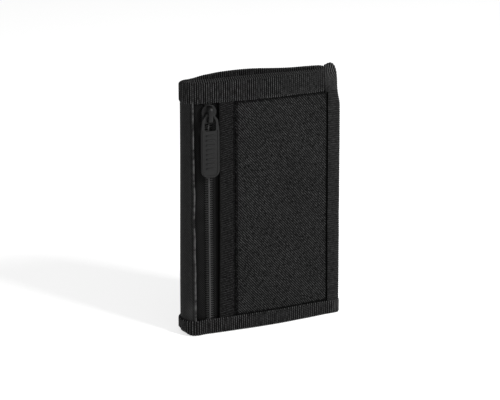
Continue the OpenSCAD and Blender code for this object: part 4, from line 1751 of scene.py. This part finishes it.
@dataclass
class Slider:
    """The zip's slider: a round-headed plate, side flanges, a back plate and an arched bridge."""

    zip: Zip
    width: float = 7.4
    plate: float = 0.8
    front: float = -0.5
    bridge_width: float = 2.1

    def __post_init__(self) -> None:
        """Takes the slider's height from the frame."""
        low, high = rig.box("zip_slider")
        self.low, self.high = low.z / MM, high.z / MM

    def plate_mesh(self, outline: Sequence[tuple[float, float]], y0: float, y1: float,
                   bevel: float) -> bmesh.types.BMesh:
        """A plate in the zip's frame with rounded rims.

        Args:
            outline: (x, z) points of its outline.
            y0: its outer face.
            y1: its inner face.
            bevel: radius of the rims.

        Returns:
            The mesh.
        """
        mesh = bmesh.new()
        mesh.faces.new([mesh.verts.new((x, y0, z)) for x, z in outline])
        thicken(mesh, Vector((0, y1 - y0, 0)))
        rims = [e for e in mesh.edges if len(e.link_faces) == 2
                and any(len(f.verts) > 4 for f in e.link_faces)]
        round_off(mesh, rims, bevel)
        return mesh

    def placed(self, mesh: bmesh.types.BMesh) -> bmesh.types.BMesh:
        """Moves a mesh from the zip's frame to the object's frame."""
        for vert in mesh.verts:
            vert.co = self.zip.point(*vert.co)
        bmesh.ops.recalc_face_normals(mesh, faces=mesh.faces[:])
        return mesh

    def head_outline(self, grow: float) -> list[tuple[float, float]]:
        """Outline of the front plate: a round head that narrows to a square tail."""
        head_r, head_z = self.width / 2 + grow, self.high - self.width / 2
        tail = self.width / 2 - 0.7 + grow
        arc = [math.radians(a) for a in range(-40, 221, 10)]
        points = [(head_r * math.cos(a), head_z + head_r * math.sin(a)) for a in arc]
        low = self.low - grow
        return [*points, (-tail, low + 1.2), (-tail + 0.9, low),
                (tail - 0.9, low), (tail, low + 1.2)]

    def bridge_mesh(self) -> bmesh.types.BMesh:
        """The bridge: a strap of rounded section bent in an arch over the puller's bar."""
        mesh = bmesh.new()
        mid = (self.low + self.high) / 2
        half, rise, thick, power = 3.75, 3.3, 0.95, 0.62
        sides, steps = 16, 20
        rings = []
        for k in range(steps + 1):
            turn = math.pi * k / steps
            z = mid - half * math.copysign(abs(math.cos(turn)) ** power, math.cos(turn))
            y = self.front + 0.3 - rise * math.sin(turn) ** power
            wide = self.bridge_width / 2 * (1 + 0.12 * abs(math.cos(turn)))
            made = bmesh.ops.create_circle(mesh, segments=sides, radius=1)["verts"]
            down = Vector((0, math.sin(turn), math.cos(turn))).normalized()
            for vert in made:
                across, deep = vert.co.x, vert.co.y
                power_x = math.copysign(abs(across) ** 0.7, across)
                power_y = math.copysign(abs(deep) ** 0.8, deep)
                vert.co = Vector((power_x * wide, y, z)) + down * (power_y * thick / 2)
            rings.append(edges_within(mesh, made))
        skin_rings(mesh, rings)
        return mesh

    def build(self) -> bpy.types.Object:
        """Builds the slider as one cast piece."""
        parts = [
            self.plate_mesh(self.head_outline(0), self.front, self.front + self.plate, 0.28),
            self.plate_mesh(self.head_outline(-0.6), 2.35, 2.95, 0.2),
            self.bridge_mesh(),
        ]
        head_z = self.high - self.width / 2
        flange = [(2.62, self.low + 0.2), (3.35, self.low + 0.2), (3.35, head_z), (2.62, head_z)]
        for side in (-1, 1):
            outline = [(side * x, z) for x, z in flange][::side]
            parts.append(self.plate_mesh(outline, 0.2, 1.35, 0.12))
        post = [(-0.38, head_z - 1), (0.38, head_z - 1), (0.38, head_z + 2), (-0.38, head_z + 2)]
        parts.append(self.plate_mesh(post, 0.2, 2.4, 0.08))
        whole = bmesh.new()
        for part in parts:
            data = bpy.data.meshes.new("part")
            self.placed(part).to_mesh(data)
            part.free()
            whole.from_mesh(data)
            bpy.data.meshes.remove(data)
        made = object_of(whole, "zip_slider_cast", Finish.SLIDER)
        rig.replaces(made, "zip_slider")
        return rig.ride(made, "slider")


@dataclass
class Puller:
    """The rubber puller: a tab with a raised rim, plain grip ridges and a hole for the bridge."""

    zip: Zip
    width: float = 9.0
    thick: float = 1.4
    hole_len: float = 7.3
    end_r: float = 3.5

    def __post_init__(self) -> None:
        """Takes the puller's place from the frame."""
        low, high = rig.box("zip_puller")
        self.low, self.top = low.z / MM - 0.7, high.z / MM
        corner = self.zip.point(0, 0, 0)
        self.depth = ((low + high) / 2 - corner).dot(-self.zip.outward) / MM

    def half_at(self, z: float) -> float:
        """Half width of the tab at a height: narrow at the ring, full below, round at the end."""
        down = self.top - z
        ring = 1.95 + 2.0 * smooth(down / 3.6)
        body = ring + (self.width / 2 - 3.95) * smooth((down - 3) / 6.5)
        over = max(0.0, self.low + self.end_r - z)
        if not over:
            return body
        return body - self.end_r + math.sqrt(max(self.end_r ** 2 - over ** 2, 0.0))

    def end_heights(self, first: int, step: int) -> list[float]:
        """Heights down the tab's round end, from an angle on, both in degrees."""
        turns = [math.radians(a) for a in range(first, 91, step)]
        return [self.low + self.end_r * (1 - math.sin(turn)) for turn in turns]

    def outline(self) -> list[tuple[float, float]]:
        """Points round the tab."""
        zs = [self.top, *[self.top - 0.35 * k for k in range(1, 12)],
              *even(self.top - 5, self.low + 4, 2.2)]
        right = [(self.half_at(z), z) for z in (*zs, *self.end_heights(10, 10))]
        return [*right, *[(-x, z) for x, z in right[::-1]]]

    def hole(self) -> list[tuple[float, float]]:
        """Points round the hole: narrow at the top, wider and flat at its lower end."""
        top, low = self.top - 1.5, self.top - 1.5 - self.hole_len + 0.4
        zs = even(top, low + 0.8, 0.5)
        right = [(1.75 + 1.05 * smooth((top - z) / 2.6), z) for z in zs]
        right += [(2.62, low + 0.35), (2.2, low + 0.08), (1.4, low)]
        return [*right, *[(-x, z) for x, z in right[::-1]]]

    def build(self) -> bpy.types.Object:
        """Builds the puller."""
        mesh = bmesh.new()
        fill_between(mesh, [[(x, -self.thick / 2, z) for x, z in outline]
                            for outline in (self.outline(), self.hole())])
        thicken(mesh, Vector((0, self.thick, 0)))
        round_off(mesh, sharp_edges(mesh, 1.2), 0.4)
        self.add_rim(mesh)
        self.add_ridges(mesh)
        for vert in mesh.verts:
            x, y, z = vert.co
            vert.co = self.zip.point(x, self.depth + y, z)
        bmesh.ops.recalc_face_normals(mesh, faces=mesh.faces[:])
        made = object_of(mesh, "zip_puller_tab", Finish.RUBBER)
        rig.replaces(made, "zip_puller")
        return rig.ride(made, "puller")

    def add_rim(self, mesh: bmesh.types.BMesh) -> None:
        """Adds the moulded bead that follows the tab's outline."""
        face_y, bead = -self.thick / 2, 0.3
        zs = [*even(self.top - 8.2, self.low + 4, 1.4), *self.end_heights(15, 15)]
        right = [(max(self.half_at(z) - 0.75, 0.3), max(z, self.low + 0.75)) for z in zs]
        line = [*right, *[(-x, z) for x, z in right[::-1]]]
        self.bead_along(mesh, [Vector((x, face_y, z)) for x, z in line], bead)

    def add_ridges(self, mesh: bmesh.types.BMesh) -> None:
        """Adds plain cross ridges to grip, on the lower part of the tab."""
        face_y = -self.thick / 2
        first, last = self.top - 10.6, self.low + 4.4
        for z in even(first, last, 2.2):
            self.bead_along(mesh, [Vector((x, face_y, z)) for x in even(-2.2, 2.2, 1.1)], 0.42)

    def bead_along(self, mesh: bmesh.types.BMesh, line: Sequence[Vector], radius: float) -> None:
        """Adds a half-sunk round bead along a line of points.

        Args:
            mesh: the mesh that the bead is added to.
            line: points of the bead's middle, in the zip's frame.
            radius: radius of the bead.
        """
        rings = []
        for k, point in enumerate(line):
            ahead, behind = line[min(k + 1, len(line) - 1)], line[max(k - 1, 0)]
            turn = frame_matrix(point, ahead - behind, Vector((0, -1, 0)))
            verts = bmesh.ops.create_circle(mesh, segments=8, radius=radius, matrix=turn)["verts"]
            rings.append(edges_within(mesh, verts))
        skin_rings(mesh, rings)


# ------------------------------------------------------------------ inside

@dataclass
class InnerWall:
    """One leaf's wall of the bill compartment, from the middle of the spine to the free edge."""

    leaf: Leaf

    def build(self) -> bpy.types.Object:
        """Builds the wall."""
        tag = self.leaf.name.lower()
        low, high, end = 1.0, PLAN.inner_top - 1.0, PLAN.leaf_len - 3.4

        def place(u: float, v: float) -> Vector:
            """A point of the wall's face towards the leaf."""
            s, z = PLAN.trim(Leaf.BACK, u, v, 1.8)
            return PLAN.point(self.leaf, s, PLAN.wall_at(self.leaf, s, PLAN.wall), z)

        made = cloth(f"{tag}_inner_wall", even(PLAN.mid, end, 0.8), even(low, high, 2.0), place,
                     Finish.LINING, self.leaf.outward, PLAN.wall)
        nodes = [f"{tag}_inner_wall"]
        if self.leaf is Leaf.FRONT:
            nodes.append("spine_inner_wall")
        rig.replaces(made, *nodes)
        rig.sheet(made, flat=((PLAN.leaf_len - 3.4 + 5.0) * MM, (high - low) * MM), held="stretched",
                 rests_on=[f"{tag}_bottom_tape", f"{tag}_edge_tape"])
        return inner_bend(made, self.leaf)


@dataclass
class InsideField:
    """The field inside the bindings, where the identity window and the card pockets are sewn."""

    def __post_init__(self) -> None:
        """Takes the field from the identity window's box."""
        low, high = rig.box("id_window_frame")
        self.s0, self.s1 = low.x / MM - PLAN.centre_x, high.x / MM - PLAN.centre_x
        self.z0, self.z1 = low.z / MM, high.z / MM

    def seam(self, name: str, leaf: Leaf, out: float,
             points: Sequence[tuple[float, float]]) -> list[bpy.types.Object]:
        """Rows of stitches along straight runs, seen from the inside.

        Args:
            name: start of the rows' names.
            leaf: the leaf that they are on.
            out: their distance from the middle plane.
            points: the runs' ends, as (s, z).

        Returns:
            One object for each run.
        """
        rows = []
        for k, ((s0, z0), (s1, z1)) in enumerate(zip(points, points[1:])):
            length = math.hypot(s1 - s0, z1 - z0)

            def path(u: float) -> Vector:
                """The point at a length along this run."""
                t = u / length
                return PLAN.point(leaf, s0 + (s1 - s0) * t, out, z0 + (z1 - z0) * t)

            rows.append(STITCH.row(f"{name}{k}", path, 0.3, length - 0.3, -leaf.outward))
        return rows


@dataclass
class IdWindow(InsideField):
    """The identity window: a hemmed frame of cloth sewn over a clear film."""

    border: float = 6.0

    def frame_piece(self) -> bpy.types.Object:
        """The frame: a plate with a rounded opening, its rims softened."""
        near, far = 0.45, 1.15
        mesh = bmesh.new()
        outer = [(self.s0, self.z0), (self.s1, self.z0), (self.s1, self.z1), (self.s0, self.z1)]
        b, r = self.border, 3.0
        inner = []
        corners = ((self.s1 - b - r, self.z1 - b - r, 0), (self.s0 + b + r, self.z1 - b - r, 90),
                   (self.s0 + b + r, self.z0 + b + r, 180), (self.s1 - b - r, self.z0 + b + r, 270))
        for s, z, start in corners:
            for k in range(7):
                turn = math.radians(start + 15 * k)
                inner.append((s + r * math.cos(turn), z + r * math.sin(turn)))
        fill_between(mesh, [[PLAN.point(Leaf.FRONT, s, near, z) for s, z in outline]
                            for outline in (outer, inner)])
        thicken(mesh, Vector((0, (far - near) * Leaf.FRONT.value * MM, 0)))
        round_off(mesh, sharp_edges(mesh, 1.2), 0.22 * MM)
        weave = mesh.loops.layers.uv.new("weave")
        for face in mesh.faces:
            for loop in face.loops:
                loop[weave].uv = (loop.vert.co.x / MM, loop.vert.co.z / MM)
        made = object_of(mesh, "id_window_cloth", Finish.WINDOW)
        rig.replaces(made, "id_window_frame")
        wide, tall = (self.s1 - self.s0) * MM, (self.z1 - self.z0) * MM
        rim = self.border * MM
        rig.sheet(made, flat=(wide, tall), area=wide * tall - (wide - 2 * rim) * (tall - 2 * rim),
                 held="stretched", rests_on=["front_inner_wall"])
        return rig.ride(made, Leaf.FRONT.body)

    def film(self) -> bpy.types.Object:
        """The clear film behind the frame, slightly wavy."""
        b = self.border - 0.05

        def place(u: float, v: float) -> Vector:
            """A point of the film."""
            wave = 0.05 * noise.noise(Vector((u / 14, v / 17, 1.0)))
            return PLAN.point(Leaf.FRONT, u, 0.92 + wave, v)

        made = cloth("id_window_clear_film", even(self.s0 + b, self.s1 - b, 1.5),
                     even(self.z0 + b, self.z1 - b, 1.5), place, Finish.FILM,
                     -Leaf.FRONT.outward, 0.2)
        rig.replaces(made, "id_window_film")
        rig.sheet(made, flat=((self.s1 - self.s0 - 2 * b) * MM, (self.z1 - self.z0 - 2 * b) * MM),
                 held="stretched", rests_on=["id_window_frame"])
        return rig.ride(made, Leaf.FRONT.body)

    def build(self) -> None:
        """Builds the window."""
        self.frame_piece()
        self.film()
        from_rim = 1.4
        for name, inset in (("outer", from_rim), ("inner", self.border - from_rim)):
            ring = [(self.s0 + inset, self.z0 + inset), (self.s1 - inset, self.z0 + inset),
                    (self.s1 - inset, self.z1 - inset), (self.s0 + inset, self.z1 - inset),
                    (self.s0 + inset, self.z0 + inset)]
            rows = self.seam(name, Leaf.FRONT, 0.5, ring)
            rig.ride(join(f"id_window_{name}_stitches", rows, Finish.THREAD), Leaf.FRONT.body)


@dataclass
class CardPockets(InsideField):
    """Three card pockets on the back leaf, each one's hemmed mouth lower than the last."""

    names: tuple[str, ...] = ("card_pocket_rear", "card_pocket_middle", "card_pocket_front")
    thick: float = 0.5
    hem: float = 4.2

    def pocket(self, name: str) -> None:
        """One pocket: cloth with a folded hem along its mouth and a stitched hem line."""
        low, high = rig.box(name)
        near = low.y / MM - PLAN.centre_y
        mouth = high.z / MM
        roll = 0.16

        def place(u: float, v: float) -> Vector:
            """A point of the pocket: flat below, rolled over at its mouth."""
            if v <= mouth - roll:
                lift = 0.08 * bump(mouth - self.hem - v, 0.5)
                return PLAN.point(Leaf.BACK, u, near + lift, v)
            turn = (v - (mouth - roll)) / roll * math.pi / 2
            return PLAN.point(Leaf.BACK, u, near + roll * (1 - math.cos(turn)),
                              mouth - roll + roll * math.sin(turn))

        vs = [*even(self.z0, mouth - 5.5, 2.5), *even(mouth - 5.2, mouth - 3.2, 0.25),
              *even(mouth - 2.6, mouth - roll - 0.2, 0.6), *even(mouth - roll, mouth, roll / 4)]
        made = cloth(f"{name}_cloth", even(self.s0, self.s1, 1.5), vs, place, Finish.POCKET,
                     -Leaf.BACK.outward, self.thick - 0.12)
        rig.replaces(made, name)
        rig.ride(made, Leaf.BACK.body)
        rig.sheet(made, flat=((self.s1 - self.s0) * MM, (mouth - self.z0) * MM), held="stretched",
                 rests_on=["back_inner_wall", "back_bottom_tape"])
        ends = [(self.s0 + 0.5, mouth - self.hem), (self.s1 - 0.5, mouth - self.hem)]
        rows = self.seam("hem", Leaf.BACK, near - 0.02, ends)
        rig.ride(join(f"{name}_stitches", rows, Finish.THREAD), Leaf.BACK.body)

    def build(self) -> None:
        """Builds the three pockets."""
        for name in self.names:
            self.pocket(name)


# ------------------------------------------------------------------ studio

@dataclass(frozen=True)
class Studio:
    """A plain pale floor, soft light and the camera."""

    lens: float = 115.2
    sensor: float = 36.0
    yaw: float = 23.235
    pitch: float = 16.761
    distance: float = 0.7863
    target: tuple[float, float, float] = (-0.00105, 0.001403, 0.0635)
    shift_x: float = -0.01867

    def camera(self) -> None:
        """Places the camera."""
        data = bpy.data.cameras.new("camera")
        data.lens, data.sensor_width, data.shift_x = self.lens, self.sensor, self.shift_x
        eye = bpy.data.objects.new("camera", data)
        bpy.context.scene.collection.objects.link(eye)
        yaw, pitch = math.radians(self.yaw), math.radians(self.pitch)
        level = math.cos(pitch)
        ahead = Vector((math.sin(yaw) * level, math.cos(yaw) * level, -math.sin(pitch)))
        eye.location = Vector(self.target) - ahead * self.distance
        eye.rotation_mode = "QUATERNION"
        eye.rotation_quaternion = ahead.to_track_quat("-Z", "Y")
        bpy.context.scene.camera = eye

    def floor(self) -> None:
        """Lays the floor."""
        mesh = bmesh.new()
        bmesh.ops.create_grid(mesh, x_segments=1, y_segments=1, size=6.0)
        data = bpy.data.meshes.new("floor")
        mesh.to_mesh(data)
        mesh.free()
        ink = Ink("floor_paper")
        ink.set(Base_Color=Colour(0.93).rgba, Roughness=0.9, Specular_IOR_Level=0.1,
                Emission_Color=(1.0, 1.0, 1.0, 1.0), Emission_Strength=0.63)
        data.materials.append(ink.material)
        made = bpy.data.objects.new("floor", data)
        bpy.context.scene.collection.objects.link(made)
        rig.stage(made)

    def lamp(self, name: str, place: Vector, size: float, power: float) -> None:
        """Adds a square soft light that looks at the wallet."""
        data = bpy.data.lights.new(name, "AREA")
        data.size, data.energy = size, power
        made = bpy.data.objects.new(name, data)
        bpy.context.scene.collection.objects.link(made)
        made.location = place
        made.rotation_mode = "QUATERNION"
        made.rotation_quaternion = (Vector(self.target) - place).to_track_quat("-Z", "Y")

    def build(self) -> None:
        """Sets up the studio."""
        self.camera()
        self.floor()
        world = bpy.data.worlds.new("studio")
        world.use_nodes = True
        back = world.node_tree.nodes["Background"]
        back.inputs[0].default_value = (1.0, 1.0, 1.0, 1.0)
        back.inputs[1].default_value = 0.25
        bpy.context.scene.world = world
        self.lamp("key", Vector((0.5, -0.75, 0.7)), 0.3, 11.0)
        self.lamp("fill", Vector((-0.7, -0.5, 0.4)), 0.5, 1.5)
        bpy.context.scene.view_settings.view_transform = "Standard"


def write_sizes() -> None:
    """Writes the CAD box and the visual model's box."""
    boxes = {"cad": CAD_BOX, "visual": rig.bounds()}
    with open(SIZE_FILE, "w", encoding="utf-8") as file:
        json.dump({name: [list(corner) for corner in box] for name, box in boxes.items()}, file)


def main() -> None:
    """Builds the wallet and its studio."""
    logging.basicConfig(level=logging.INFO, format="%(message)s")
    Studio().build()
    FrontShell().build()
    BackShell().build()
    the_zip = Zip()
    the_zip.build()
    Lining().build()
    Slider(the_zip).build()
    Puller(the_zip).build()
    for leaf in Leaf:
        InnerWall(leaf).build()
        Bindings(leaf).build()
    IdWindow().build()
    CardPockets().build()
    write_sizes()


if __name__ == "__main__":
    main()
